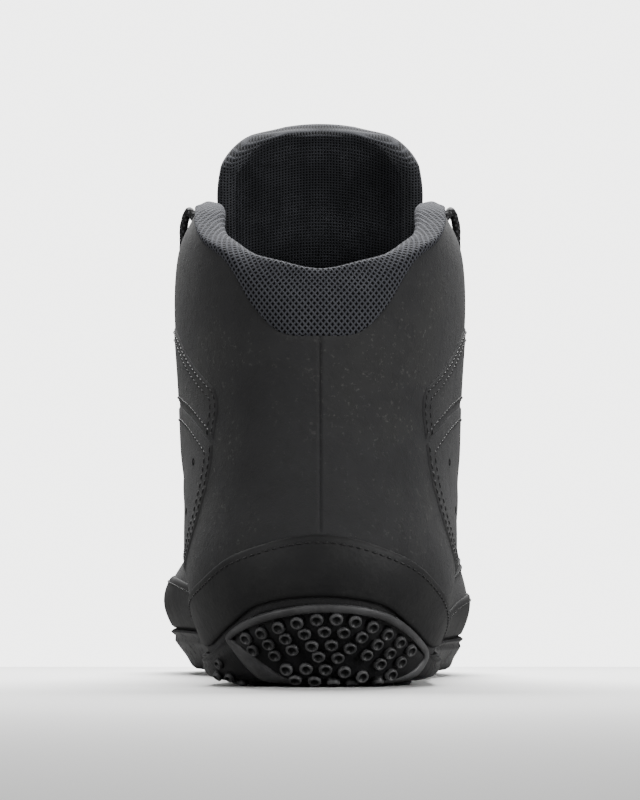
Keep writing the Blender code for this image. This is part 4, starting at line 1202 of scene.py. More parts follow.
def tongue_section(arc, reach, pad, shift):
    """Closed ring of the tongue across the throat: its outer face, an end, its inner face, an end."""
    share = np.sin(np.linspace(-0.5, 0.5, TONGUE_COLUMNS) * np.pi)
    angle = share * reach
    past = np.maximum(0.0, np.abs(angle) - arc[2]) * arc[1]
    face = -UPPER_WALL - 2.0 * FIT - 0.02 * past * past
    thickness = pad * (1.0 - 0.55 * share ** 4)
    outer = on_arc(arc, angle, face)
    inner = on_arc(arc, angle, face - thickness)
    over = reach + 0.16 * pad / arc[1]
    ends = [
        on_arc(arc, np.array([sign * over]), face[-1:] - 0.5 * thickness[-1:]) for sign in (1.0, -1.0)
    ]
    return np.concatenate([outer, ends[0], inner[::-1], ends[1]]) + shift


def tongue_end_rows():
    """The free end's table filled in with smooth rows, closer together towards its top."""
    table = np.array(TONGUE_TOP_ROWS)
    places = table[:, 0]
    steps = np.sin(np.linspace(0.0, 0.5 * np.pi, TONGUE_END_ROWS + 1))[1:]
    return between(places, table, open_bends(places) @ table, steps)


def build_tongue(sizes):
    """Padded tongue in fine mesh, with a rolled rim round its dished inner face; the rim's band is painted
    paler as painted light, and the inner face darker as painted shade.
    """
    tip, behind = (on_arc(throat_arc(rib), 0.0, 0.0) for rib in (TONGUE_FIRST, TONGUE_FIRST - 0.4))
    under = TONGUE_UNDER * unit(tip - behind) - np.array((0.0, 0.0, 0.5))
    sections = []
    for share in np.linspace(0.0, 1.0, TONGUE_ROWS + 1):
        rib = TONGUE_FIRST + (PEAK_RIB - TONGUE_FIRST) * share
        arc = throat_arc(rib)
        reach = arc[2] + float(read(TONGUE_MARGIN, rib)) / arc[1]
        pad = TONGUE_BASE + (TONGUE_PAD - TONGUE_BASE) * share * share
        sections.append(tongue_section(arc, reach, pad, np.zeros(3)))
    sections = [sections[0] + share * under for share in (1.0, 0.5)] + sections
    bend = len(sections) - 1
    start_width = math.sin(reach) * (arc[1] - UPPER_WALL) / TONGUE_HALF_WIDTH
    free_height = SHAFT_HEIGHT + TONGUE_RISE - on_arc(arc, 0.0, 0.0)[2]
    crown_from, crown_drop, crown_width = TONGUE_CROWN
    for rise, width, forward, pad in tongue_end_rows():
        width += (start_width - TONGUE_TOP_ROWS[0][1]) * max(0.0, 1.0 - rise / 0.45) ** 2
        reach = math.asin(min(0.98, width * TONGUE_HALF_WIDTH / (arc[1] - UPPER_WALL)))
        shift = np.array((0.0, forward, rise * free_height))
        section = tongue_section(arc, reach, pad * TONGUE_PAD, shift)
        crown = max(0.0, (rise - crown_from) / (1.0 - crown_from)) ** 2
        section[:, 2] -= crown_drop * crown * (section[:, 0] / crown_width) ** 2
        sections.append(section)
    sections = np.array(sections)
    for _ in range(2 * TONGUE_EASED):       # eases the bend where the free end leaves the throat
        near = sections[bend - TONGUE_EASED:bend + TONGUE_EASED]
        eased_rows = 0.25 * near[:-2] + 0.5 * near[1:-1] + 0.25 * near[2:]
        sections[bend - TONGUE_EASED + 1:bend + TONGUE_EASED - 1] = eased_rows
    # Distance of each point of the free end from the tongue's outline
    first = bend - TONGUE_ROLLED
    upper = sections[first:]
    far = np.full(upper.shape[:2], 99.0)
    for point in np.concatenate([upper[:, TONGUE_COLUMNS], upper[-1], upper[:, -1][::-1]]):
        far = np.minimum(far, np.linalg.norm(upper - point, axis=2))
    inside = slice(TONGUE_COLUMNS + 1, 2 * TONGUE_COLUMNS + 1)
    inward = unit(upper[:, inside][:, ::-1] - upper[:, :TONGUE_COLUMNS])[:, ::-1]
    blend = np.clip(np.arange(len(upper)) / 16.0, 0.0, 1.0)[:, None]
    place, width, height = TONGUE_ROLL
    push = height * np.exp(-((far[:, inside] - place) / width) ** 2)
    place, width, depth = TONGUE_DISH
    dish = np.clip((far[:, inside] - place) / width, 0.0, 1.0)
    push -= depth * dish * dish * (3.0 - 2.0 * dish)
    upper[:, inside] += (blend * push)[..., None] * inward
    count, size = sections.shape[:2]
    faces = tube_faces(count, size, False)
    # The rolled rim's band and the outer face take the paler copy of the cloth, which is painted light; the
    # dished inner face takes the darker copy, which is painted shade
    marks = []
    for face in faces:
        i, k = divmod(face[0], size)
        row = i - first
        in_band = row > 8 and (len(face) > 4 or far[min(row + 1, len(far) - 1), k] < TONGUE_PAINTED_LIGHT_BAND)
        marks.append(1 if in_band or k < TONGUE_COLUMNS else 0)
    # The cloth is laid on from the front, so its squares stay square over the rolled rim
    flat = sections.reshape(-1, 3) * MM
    uvs = [(flat[v, 0], flat[v, 2] - 0.8 * flat[v, 1]) for face in faces for v in face]
    materials = [
        shoe_material(kind, sizes) for kind in ("polyester_knit_square", "polyester_knit_square_painted_light")
    ]
    padding = mesh_piece(
        "tongue_mesh", sections.reshape(-1, 3), faces, materials, marks, uvs, "tongue", ("tongue",),
    )


def eased(start, stop, count, tight):
    """Even steps from start to stop with two tight ones at either end, for a rounded edge."""
    way = 1.0 if stop > start else -1.0
    inside = np.linspace(start, stop, count + 1)[1:-1]
    ends = way * tight * np.array((0.0, 0.3, 1.0))
    inside = inside[(np.abs(inside - start) > 1.2 * tight) & (np.abs(inside - stop) > 1.2 * tight)]
    return np.concatenate([start + ends, inside, (stop - ends)[::-1]])


def rear_of(low, high, share):
    """Rib where a panel's row at a share of its height meets the curve behind."""
    rear = np.array(PANEL_REAR)
    rib = np.full(np.shape(share), 1.4)
    for _ in range(12):
        height = low(rib) + share * (high(rib) - low(rib))
        rib = 0.5 * rib + 0.5 * np.interp(height / SHAFT_HEIGHT, rear[:, 0], rear[:, 1])
    return rib


def build_overlay(name, first, last, edges, thick, material, slot, replaces, columns, rows):
    """A panel lying on the upper, closed, with rounded edges that sink into it.

    Where first is None the panel ends behind on the curve of PANEL_REAR, on last's side.
    """
    foot, top = edges
    side = math.copysign(1.0, last)
    shares = eased(0.0, 1.0, rows, 0.01)
    if first is None:
        starts = rear_of(lambda r: foot(side * r), lambda r: top(side * r), shares)
        across = eased(0.0, 1.0, columns, 0.01)
        places = side * (starts[:, None] + across[None, :] * (abs(last) - starts[:, None]))
    else:
        places = np.tile(eased(first, last, columns, 0.035), (len(shares), 1))
    ribs = signed(places)
    low = foot(ribs)
    high = np.maximum(top(ribs), low + 1.5)
    heights = low + (high - low) * shares[:, None]
    from_side = np.minimum(np.abs(places - places[:, :1]), np.abs(places - places[:, -1:])) * RIB_PITCH
    from_end = np.minimum(heights - low, high - heights)
    near = np.clip(np.minimum(from_side, from_end) / 1.0, 0.0, 1.0)
    lift = thick * np.sqrt(1.0 - (1.0 - near) ** 2) - 0.15 * (near <= 0.0)
    rises = rise_at(ribs, heights)
    outer = dressed(ribs, rises, lift)
    inner = dressed(ribs, rises, np.full(lift.shape, -PANEL_SUNK))
    shape_rows, cols = ribs.shape
    points = np.concatenate([outer.reshape(-1, 3), inner.reshape(-1, 3)])
    shift = shape_rows * cols
    faces = []
    for i in range(shape_rows - 1):
        for k in range(cols - 1):
            a = i * cols + k
            quad = (a, a + 1, a + cols + 1, a + cols)
            faces.append(quad)
            faces.append(tuple(shift + q for q in reversed(quad)))
    border = list(range(cols)) + [i * cols + cols - 1 for i in range(1, shape_rows)]
    border += [(shape_rows - 1) * cols + k for k in range(cols - 2, -1, -1)]
    border += [i * cols for i in range(shape_rows - 2, 0, -1)]
    for a, b in zip(border, border[1:] + border[:1]):
        faces.append((a, b, shift + b, shift + a))
    mesh_piece(name, points, faces, [material], slot=slot, replaces=replaces)


def edge_line(table, scale, above=0.0):
    """Heights of a panel's edge as a function of the rib."""
    return lambda ribs: read(table, ribs, scale) + above


def throat_edge(ribs):
    """Heights of the eyestay's edge, just inside the leather's."""
    return skin(ribs, edge_rise(ribs))[..., 2] - 0.8


# The overlays' edges, foot and top
COUNTER = (edge_line(SOLE_RIM, BULGE_HEIGHT, COUNTER_GAP), edge_line(COUNTER_TOP, BULGE_HEIGHT))
RAND = (edge_line(SOLE_RIM, BULGE_HEIGHT, RAND_GAP), edge_line(RAND_TOP, BULGE_HEIGHT))
EYESTAY = (edge_line(EYESTAY_FOOT, SHAFT_HEIGHT), throat_edge)
SADDLE = (edge_line(SADDLE_FOOT, SHAFT_HEIGHT), edge_line(SADDLE_TOP, SHAFT_HEIGHT))
QUARTER = (edge_line(QUARTER_FOOT, SHAFT_HEIGHT), edge_line(QUARTER_TOP, SHAFT_HEIGHT))


def build_panels(sizes):
    """Heel counter, toe rand and eyestay, and a saddle and quarter panel on either side."""
    smooth = shoe_material("synthetic_moulded", sizes)
    napped = shoe_material("nubuck_panel", sizes)
    end = 2.0 * TIP
    build_overlay(
        "heel_counter_panel", -COUNTER_END, COUNTER_END, COUNTER, MOULDED_LIFT, smooth,
        "heel_counter", ("heel_counter",), 120, 20,
    )
    build_overlay(
        "toe_rand_panel", RAND_END, end - RAND_END, RAND, MOULDED_LIFT, smooth,
        "toe_rand", ("toe_rand",), 220, 16,
    )
    build_overlay(
        "eyestay_panel", EYESTAY_END, end - EYESTAY_END, EYESTAY, EYESTAY_LIFT, napped,
        "eyestay", ("eyestay",), 240, 14,
    )
    for side, name in ((1.0, "outer"), (-1.0, "inner")):
        build_overlay(
            "saddle_panel_" + name, None, side * SADDLE_END, SADDLE, PANEL_LIFT, napped,
            "side_panel", ("saddle_" + name,), 70, 20,
        )
        build_overlay(
            "quarter_panel_" + name, None, side * QUARTER_END, QUARTER, PANEL_LIFT, napped,
            "side_panel", ("quarter_" + name,), 90, 34,
        )


def surface_path(ribs, heights, lift):
    """Points and outward directions of a path on the folded surface."""
    ribs = signed(ribs)
    rises = rise_at(ribs, heights)
    return dressed(ribs, rises, np.broadcast_to(np.asarray(lift, float), ribs.shape)), normal(ribs, rises)


def stitches_on(points, outs, pitch, length):
    """A row of thread stitches on a path, each a little arched run half sunk."""
    lengths = arc_lengths(points)
    total = lengths[-1]

    def at(place, rows):
        return np.array([np.interp(place, lengths, rows[:, k]) for k in range(3)])

    stitches = []
    for start in np.arange(int(total / pitch)) * pitch:
        verts = []
        for share, fat, lift in STITCH_SHAPE:
            here = start + share * length
            centre = at(here, points)
            out = unit(at(here, outs))
            side = unit(np.cross(at(min(here + 0.4, total), points) - at(max(here - 0.4, 0.0), points), out))
            for angle in 2.0 * math.pi * np.arange(THREAD_SIDES) / THREAD_SIDES:
                way = math.cos(angle) * side + math.sin(angle) * out
                verts.append(centre + lift * out + THREAD_RADIUS * fat * way)
        stitches.append((verts, tube_faces(len(STITCH_SHAPE), THREAD_SIDES, False)))
    return joined(stitches)


def inset(ribs, heights, margin):
    """The path that runs margin millimetres to the left of one on the surface, corners kept."""
    path = np.stack([np.abs(ribs) * RIB_PITCH, heights], axis=1)
    lengths = arc_lengths(path)
    even = np.arange(0.0, lengths[-1], 0.4)
    path = np.stack([np.interp(even, lengths, path[:, k]) for k in range(2)], axis=1)
    way = unit(np.gradient(path, axis=0))
    moved = path + margin * np.stack([-way[:, 1], way[:, 0]], axis=1)
    far = np.linalg.norm(moved[:, None] - path[None, :], axis=2).min(axis=1)
    moved = moved[far > 0.97 * margin]
    for _ in range(6):
        moved[1:-1] = 0.25 * moved[:-2] + 0.5 * moved[1:-1] + 0.25 * moved[2:]
    return moved[:, 0] / RIB_PITCH, moved[:, 1]


def panel_outline(last, edges, margin, side, runs):
    """Ribs and heights of a row inside the named edges of a panel, from its top round to its foot."""
    foot, top = edges
    shares = np.linspace(1.0, 0.0, 40)
    rear = rear_of(lambda r: foot(side * r), lambda r: top(side * r), shares)
    high = np.linspace(last, rear[0], 90)
    low = np.linspace(rear[-1], last, 90)
    rear_heights = foot(side * rear) + shares * (top(side * rear) - foot(side * rear))
    all_runs = {
        "top": (high, top(side * high)),
        "rear": (rear, rear_heights),
        "foot": (low, foot(side * low)),
    }
    ribs = np.concatenate([all_runs[run][0][1:] for run in runs])
    heights = np.concatenate([all_runs[run][1][1:] for run in runs])
    ribs, heights = inset(ribs, heights, margin)
    return ribs * side, heights


def stitch_rows():
    """Every sewn row: ribs, heights and lift of its path."""
    span = np.linspace(-2.62, 2.62, 160)
    rows = [(span, COUNTER[1](span) - 2.4, ON_MOULDED)]
    for side in (1.0, -1.0):
        for last, edges, margin, runs in (
            (SADDLE_END, SADDLE, 1.2, ("top", "rear")),
            (SADDLE_END, SADDLE, 3.6, ("top", "rear")),
            (SADDLE_END, SADDLE, 1.2, ("foot",)),
            (QUARTER_END, QUARTER, 1.2, ("rear", "foot")),
            (QUARTER_END, QUARTER, 3.8, ("top", "rear", "foot")),
        ):
            rows.append((*panel_outline(last, edges, margin, side, runs), PANEL_LIFT))
        ribs = np.linspace(3.55, 10.9, 150) * side
        rows.append((ribs, EYESTAY[0](ribs) + 1.6, EYESTAY_LIFT + 0.02))
        # The row that holds the collar's lining ends in a short arc below the peak
        ribs = np.linspace(3.0, 3.72, 24) * side
        rows.append((ribs, read(LEATHER_EDGE, ribs, SHAFT_HEIGHT) - 2.6, ON_NUBUCK))
    span = np.linspace(5.6, 2.0 * TIP - 5.6, 300)
    rows.append((span, RAND[1](signed(span)) - 2.2, ON_MOULDED))
    return rows


def build_stitching(sizes):
    """All sewn rows in one piece of black thread."""
    rows = []
    for ribs, heights, lift in stitch_rows():
        path = surface_path(ribs, heights, lift)
        rows.append(stitches_on(*path, sizes.stitch_pitch / MM, sizes.stitch_length / MM))
    mesh_piece("stitching", *joined(rows), [shoe_material("thread_bonded", sizes)])


def frame_at(rib, height, lift):
    """Point, outward direction and two directions along the surface there."""
    rise = rise_at(rib, height)
    point = dressed(np.array([rib]), np.array([rise]), np.array([lift]))[0]
    along, upward = slopes(np.array([rib]), np.array([rise]))
    out = unit(np.cross(along[0], upward[0]))
    side = unit(along[0])
    return point, out, side, np.cross(out, side)


def turned(point, out, side, other, profile, steps):
    """Corners and faces of a turned form: profile rows are radius and height along out."""
    verts = []
    for radius, lift in profile:
        for k in range(steps):
            angle = 2.0 * math.pi * k / steps
            verts.append(point + lift * out + radius * (math.cos(angle) * side + math.sin(angle) * other))
    return verts, tube_faces(len(profile), steps, False)


def build_eyelets(sizes):
    """Rolled eyelets in the eyestay, and the punched breathing holes of the side panels."""
    rim = EYELET_HOLE + 2.6 * EYELET_WIRE
    eyelet = (
        (EYELET_HOLE, -EYELET_FOOT), (EYELET_HOLE, 0.35), (EYELET_HOLE + 0.25, 0.62),
        (EYELET_HOLE + 2 * EYELET_WIRE, 0.55), (rim, 0.2), (rim, -EYELET_FOOT),
    )
    hole = ((1.15, -0.2), (1.0, 0.12), (0.8, 0.1), (0.3, -0.2))
    rings = []
    for rib, share, _ in EYELETS:
        for side in (1.0, -1.0):
            rings.append(turned(*frame_at(side * rib, share * SHAFT_HEIGHT, EYELET_LIFT), eyelet, 24))
    mesh_piece("eyelets", *joined(rings), [shoe_material("brass_enamelled", sizes)], slot="eyestay")
    holes = [turned(*frame_at(rib, height, HOLE_LIFT), hole, 16) for rib, height in BREATHING_HOLES]
    mesh_piece("breathing_holes", *joined(holes), [shoe_material("lining_brushed", sizes)], slot="side_panel")


def smooth_path(points, steps):
    """Evenly placed points on a smooth curve through a short list."""
    points = np.array(points)
    places = arc_lengths(points)
    return between(places, points, open_bends(places) @ points, np.linspace(0.0, places[-1], steps))


def lace_routes():
    """Each visible run of the lace: up out of one eyelet, over the throat and into the next."""
    def eyelet(number, side, lift):
        rib, share, _ = EYELETS[number]
        return frame_at(side * rib, share * SHAFT_HEIGHT, lift)[0]

    def crossing(low, high, side):
        points = [eyelet(low, side, 0.0), eyelet(low, side, 1.6)]
        for share, turn, over, below in CROSSING:
            rib = EYELETS[low][2] * (1.0 - share) + EYELETS[high][2] * share
            arc = throat_arc(rib)
            points.append(on_arc(arc, side * turn * arc[2], over if side > 0 else below))
        points += [eyelet(high, -side, 1.6), eyelet(high, -side, 0.0)]
        return points

    last = len(EYELETS) - 1
    routes = [crossing(last, last, 1.0)]
    for number in range(1, last):
        for side in (1.0, -1.0):
            routes.append(crossing(number, number + 1, side))
    for side in (1.0, -1.0):
        # From the second eyelet up the outside, over past the top one and in
        bow = [np.array((side * across, along, up)) for across, along, up in LACE_BOW]
        lower = [eyelet(1, side, 0.0), eyelet(1, side, 2.2)]
        routes.append(lower + bow + [eyelet(0, side, 2.4), eyelet(0, side, 0.0)])
    return routes


def build_lace(sizes):
    """Round braided lace in runs between the eyelets."""
    runs = []
    uvs = []
    angles = 2.0 * math.pi * np.arange(LACE_SIDES)[None, :, None] / LACE_SIDES
    for number, route in enumerate(lace_routes()):
        path = smooth_path(route, LACE_STEPS)
        ahead = unit(np.gradient(path, axis=0))
        side = unit(np.cross(ahead, THROAT_FACES))
        other = np.cross(side, ahead)
        # The braid is a little uneven along its run
        radius = LACE_RADIUS * (1.0 + 0.04 * np.sin(np.arange(LACE_STEPS) * 1.7 + number))
        ring = np.cos(angles) * side[:, None] + np.sin(angles) * other[:, None]
        section = path[:, None] + radius[:, None, None] * ring
        shape = tube_faces(LACE_STEPS, LACE_SIDES, False)
        round_run = np.tile(np.arange(LACE_SIDES + 1) / LACE_SIDES, (LACE_STEPS, 1))
        uvs += [(b, a) for a, b in tube_uvs(shape, LACE_STEPS, LACE_SIDES, arc_lengths(path) * MM, round_run)]
        runs.append((section.reshape(-1, 3), shape))
    mesh_piece(
        "lace_braid", *joined(runs), [shoe_material("cord_braided", sizes)], None, uvs, "lace", ("lace",),
    )


def ground_height(points):
    """Height of the sole's underside: flat at heel and ball, raised at arch and toe."""
    share = points[..., 1] / LENGTH
    arch = np.exp(-((share - ARCH_RUN[0]) / ARCH_RUN[1]) ** 2)
    arch *= np.where(points[..., 0] < 0, 1.0, OUTER_ARCH)
    spring = np.maximum(0.0, (share - TOE_RUN[0]) / TOE_RUN[1]) ** 2
    return LUG_HEIGHT + ARCH_RISE * arch + TOE_SPRING * spring


def sole_sections(columns):
    """Closed-up sections of the cup: floor corner, inside, rolled rim, outside, ground edge."""
    ribs = signed(2.0 * TIP * np.arange(columns) / columns)
    zero = np.zeros(columns)
    top = rise_at(ribs, sole_rim(ribs))
    feather = skin(ribs, zero)
    flat = unit(normal(ribs, zero) * np.array((1.0, 1.0, 0.0)))
    inner_corner = off(ribs, zero, zero + FIT)
    inner_corner[:, 2] = feather[:, 2] - FIT
    corner = off(ribs, zero, zero + FIT + CORNER_WALL)
    ground = feather - flat * GROUND_INSET
    ground[:, 2] = ground_height(ground)
    middle = 0.5 * (corner + ground) + flat * 1.2
    middle[:, 2] = 0.42 * corner[:, 2] + 0.58 * ground[:, 2] - 0.35
    rim_in = off(ribs, top, zero + FIT)
    rim_out = off(ribs, top, zero + FIT + RIM_WALL)
    upward = unit(slopes(ribs, top)[1])
    lip = 0.5 * (rim_in + rim_out) + 0.5 * upward
    under_rim = off(ribs, 0.86 * top, zero + FIT + RIM_WALL - 0.5)
    side = [
        off(ribs, share * top, zero + FIT + SIDE_WALL - 0.15 * share) for share in (0.75, 0.5, 0.25)
    ]
    low_middle = 0.35 * middle + 0.65 * ground + flat * 0.5
    low_middle[:, 2] = ground[:, 2] + 0.35 * (middle[:, 2] - ground[:, 2])
    run = [inner_corner, off(ribs, 0.5 * top, zero + FIT), rim_in]
    run += [rim_in + 0.35 * upward, lip, rim_out + 0.35 * upward, rim_out, under_rim]
    run += side + [corner, 0.5 * (corner + middle) + 0.35 * flat, middle, low_middle, ground]
    return np.stack(run, axis=1)


def build_cup(sizes):
    """The rubber cup's walls, floor and underside."""
    sections = sole_sections(4 * AROUND)
    faces = closed_band(*sections.shape[:2])
    mesh_piece(
        "outsole_cup", sections.reshape(-1, 3), faces, [shoe_material("rubber_moulded", sizes)],
        slot="outsole", replaces=("outsole",),
    )


def lens_point(along, rise):
    """Place on the leaning plane of a point given along and across the tilted lens."""
    across = LENS_CENTRE[0] + along * math.cos(LENS_TILT) - rise * math.sin(LENS_TILT)
    up = LENS_CENTRE[1] + along * math.sin(LENS_TILT) + rise * math.cos(LENS_TILT)
    return across, up


def on_heel_plane(across, up):
    """Point of the leaning plane behind the heel, and the way from it into the sole."""
    into = np.array((0.0, math.cos(HEEL_LEAN), math.sin(HEEL_LEAN)))
    start = np.array((across, -up * math.sin(HEEL_LEAN), up * math.cos(HEEL_LEAN)))
    return start - PLANE_SETBACK * into, into


def seat(tree, start, into):
    """Where a line meets the cup's wall, and the way that the wall faces there, in millimetres."""
    point, facing, _, _ = tree.ray_cast(Vector(to_frame(start)), Vector(into))
    if point is None:
        point, facing, _, _ = tree.find_nearest(Vector(to_frame(start + PLANE_SETBACK * into)))
    facing = unit(np.array(facing))
    if facing.dot(into) > 0.0:
        facing = -facing
    return (np.array(point) - SHIFT) / MM, facing


def rim_run():
    """The lens's rim filled in smoothly: along, across and half width."""
    table = np.array(LENS_RIM)
    around = np.concatenate([table, table[:1]])
    bends = ring_bends(table)
    bends = np.concatenate([bends, bends[:1]])
    return between(np.arange(len(around)), around, bends, np.arange(0.0, len(table), 0.1))


def heel_places():
    """Start and direction of each lug in the lens, row by row from its middle outward."""
    rim = rim_run()
    spots = []
    for top, fall, first in LUG_ROWS:
        for way in (1.0, -1.0):
            along = first if way > 0 else first - LUG_PITCH
            while -LENS_LEFT < along < LENS_RIGHT:
                rise = top - fall * along * along
                if rise < LENS_FLOOR[0] + LENS_FLOOR[1] * along * along:
                    break
                spot = np.array((along, rise))
                room = np.linalg.norm(rim[:, :2] - spot, axis=1) - rim[:, 2]
                apart = all(math.dist(spot, other) > LUG_TO_LUG * LUG_RADIUS for other in spots)
                if room.min() > LUG_TO_RIM * LUG_RADIUS and apart:
                    spots.append((along, rise))
                along += way * LUG_PITCH / math.hypot(1.0, 2.0 * fall * along)
    return [on_heel_plane(*lens_point(*spot)) for spot in spots]


def under_places():
    """Start and direction of each lug in the pods under the sole."""
    row_step = UNDER_LUG_PITCH * math.sqrt(0.75)
    places = []
    for x, y, half_width, half_length in UNDER_PODS:
        for row in range(-5, 6):
            for k in range(-5, 6):
                across = (k + 0.5 * (row % 2)) * UNDER_LUG_PITCH
                along = row * row_step
                if (across / half_width) ** 2 + (along / half_length) ** 2 > 1.0:
                    continue
                spot = (x + across, y + along)
                if any(math.hypot(spot[0] - p[0], spot[1] - p[1]) < p[2] + PAD_CLEARANCE for p in PADS):
                    continue
                places.append((np.array((*spot, -PLANE_SETBACK)), np.array((0.0, 0.0, 1.0))))
    return places


def build_lugs(tree, sizes):
    """Dished round lugs in the heel's lens, in the small pod beside it and under the sole."""
    steps = 20            # points round a lug
    jobs = [(LUG_RADIUS, place) for place in heel_places()]
    jobs += [(0.8 * LUG_RADIUS, on_heel_plane(*lens_point(*spot))) for spot in SIDE_LUGS]
    jobs += [(UNDER_LUG_RADIUS, place) for place in under_places()]
    lugs = []
    marks = []
    for radius, (start, into) in jobs:
        point, facing = seat(tree, start, into)
        height = LUG_HEIGHT
        if into[1] == 0.0:
            facing = np.array((0.0, 0.0, -1.0))
        room = point[2] - radius * math.sqrt(max(0.0, 1.0 - facing[2] ** 2)) - 0.1
        if facing[2] < 0.0:
            height = min(height, room / -facing[2])
        if height < LEAST_LUG:
            continue
        side = unit(np.cross(facing, (0.3, 0.5, 0.8)))
        profile = [(1.12 * radius, -0.6)] + [(a * radius, b * height) for a, b in LUG_SHAPE]
        lug = turned(point, facing, side, np.cross(facing, side), profile, steps)
        lugs.append(lug)
        # The ring on top is rubbed grey
        marks += [1 if len(face) == 4 and 1 <= face[0] // steps <= 4 else 0 for face in lug[1]]
    materials = [shoe_material("rubber_moulded", sizes), shoe_material("rubber_rubbed", sizes)]
    mesh_piece("outsole_lugs", *joined(lugs), materials, marks, slot="outsole")


def build_pod_rim(tree, sizes):
    """Raised rim round the heel's lens, a low flat band that broadens at the lower left."""
    run = rim_run()
    seats = [seat(tree, *on_heel_plane(*lens_point(along, rise))) for along, rise, _ in run]
    points, outs = (np.array(rows) for rows in zip(*seats))
    points = smoothed(points, 4)
    outs = unit(smoothed(outs, 12))
    ahead = unit(np.roll(points, -1, axis=0) - np.roll(points, 1, axis=0))
    side = unit(np.cross(ahead, outs)) * run[:, 2:]
    verts = np.stack([points + across * side + up * outs for across, up in RIM_SHAPE], axis=1)
    verts[..., 2] = np.maximum(verts[..., 2], 0.05)
    mesh_piece(
        "outsole_pod_rim", verts.reshape(-1, 3), tube_faces(len(points), len(RIM_SHAPE), True),
        [shoe_material("rubber_rubbed", sizes)], slot="outsole",
    )


def smoothed(ring, times):
    """A closed ring of rows evened out."""
    for _ in range(times):
        ring = 0.25 * np.roll(ring, 1, axis=0) + 0.5 * ring + 0.25 * np.roll(ring, -1, axis=0)
    return ring


def build_pads(sizes):
    """The two flat pads that the shoe stands on, with a shallow groove round each."""
    pads = []
    for x, y, radius in PADS:
        profile = [(share * radius + more, height) for share, more, height in PAD_SHAPE]
        down, across, back = np.array(((0.0, 0.0, -1.0), (1.0, 0.0, 0.0), (0.0, -1.0, 0.0)))
        pads.append(turned(np.array((x, y, 0.0)), down, across, back, profile, 48))
    mesh_piece("outsole_pads", *joined(pads), [shoe_material("rubber_moulded", sizes)], slot="outsole")


def heel_wall():
    """The cup's outside without its rolled edge, run on upward, as a surface to seat lugs on."""
    columns = 2 * AROUND
    ribs = signed(2.0 * TIP * np.arange(columns) / columns)
    zero = np.zeros(columns)
    sections = sole_sections(columns)[:, ::-1]
    top = rise_at(ribs, sole_rim(ribs))
    above = rise_at(ribs, sole_rim(ribs) + 7.0)
    lower = [sections[:, k] for k in range(5)]
    for share in (0.25, 0.5, 0.75, 1.0):
        lower.append(off(ribs, share * top, zero + FIT + SIDE_WALL - 0.4 * share))
    lower.append(off(ribs, above, zero + FIT + SIDE_WALL - 0.5))
    wall = to_frame(np.stack(lower, axis=1))
    size = wall.shape[1]
    faces = band_faces(columns, size) + strips_across(range(0, columns * size, size))
    return BVHTree.FromPolygons(wall.reshape(-1, 3).tolist(), faces)


def build_outsole(sizes):
    """Cup sole, heel pod, dished lugs and pads."""
    build_cup(sizes)
    wall = heel_wall()
    build_lugs(wall, sizes)
    build_pod_rim(wall, sizes)
    build_pads(sizes)


def build_insole(sizes):
    """Loose foam insole with a rounded edge."""
    columns = 3 * AROUND
    ribs = signed(2.0 * TIP * np.arange(columns) / columns)
    zero = np.zeros(columns)
    rings = []
    for inward, up in INSOLE_EDGE:
        ring = off(ribs, zero, zero - UPPER_WALL - INSOLE_PLAY - inward)
        ring[:, 2] = skin(ribs, zero)[:, 2] + up * INSOLE_THICKNESS / 3.0
        rings.append(ring)
    verts = np.stack(rings, axis=1)
    mesh_piece(
        "insole_foam", verts.reshape(-1, 3), closed_band(columns, len(rings)),
        [shoe_material("insole_brushed", sizes)], slot="insole", replaces=("insole",),
    )


def build_stage(sizes):
    """Floor, studio lights and the photograph's camera."""
    # Board under matt paint, rolled on: a pale floor that fades towards the viewer, away from the
    # lamps. Only the camera sees it pale; to other rays it is darker, so the shoe's foot stays dark.
    floor, tree, shader, _ = blank_material("floor_painted", Roughness=0.6, Specular_IOR_Level=0.25)
    seen = node(tree, "LightPath")
    colour = node(tree, "Mix", {0: seen, 6: linear("#6e6e6d"), 7: linear("#f6f6f5")}, out=2, data_type="RGBA")
    tree.links.new(colour, shader.inputs["Base Color"])
    mesh = bpy.data.meshes.new("floor")
    front = float(SHIFT[1]) - FLOOR_FRONT
    back = float(SHIFT[1]) + FLOOR_BACK
    half = FLOOR_HALF_WIDTH
    corners = [(-half, front, 0.0), (half, front, 0.0), (half, back, 0.0), (-half, back, 0.0)]
    mesh.from_pydata(corners, [], [(0, 1, 2, 3)])
    mesh.materials.append(floor)
    ground = bpy.data.objects.new("floor", mesh)
    bpy.context.scene.collection.objects.link(ground)

    world = bpy.data.worlds.new("studio")
    world.use_nodes = True
    tree = world.node_tree
    seen = node(tree, "LightPath")
    strength = node(tree, "MapRange", {0: seen, 3: sizes.ambient, 4: sizes.backdrop})
    backdrop = tree.nodes["Background"]
    backdrop.inputs[0].default_value = linear("#f4f4f3")
    tree.links.new(strength, backdrop.inputs[1])
    bpy.context.scene.world = world

    for name, spot, size, spread, watts in LAMPS:
        light = bpy.data.lights.new(name, "AREA")
        light.shape = "RECTANGLE"
        light.size, light.size_y = size
        light.spread = math.radians(spread)
        light.energy = watts * sizes.light_power
        lamp = bpy.data.objects.new(name, light)
        lamp.location = spot
        lamp.rotation_mode = "QUATERNION"
        lamp.rotation_quaternion = (Vector(LAMPS_AIM) - Vector(spot)).to_track_quat("-Z", "Y")
        bpy.context.scene.collection.objects.link(lamp)

    data = bpy.data.cameras.new("camera")
    data.lens = CAMERA_LENS
    data.sensor_width = 36.0
    data.clip_start = 0.01
    camera = bpy.data.objects.new("camera", data)
    camera.location = to_frame((0.0, -CAMERA_BACK, CAMERA_HEIGHT))
    camera.rotation_euler = (0.5 * math.pi + CAMERA_PITCH, 0.0, 0.0)
    bpy.context.scene.collection.objects.link(camera)
    bpy.context.scene.camera = camera


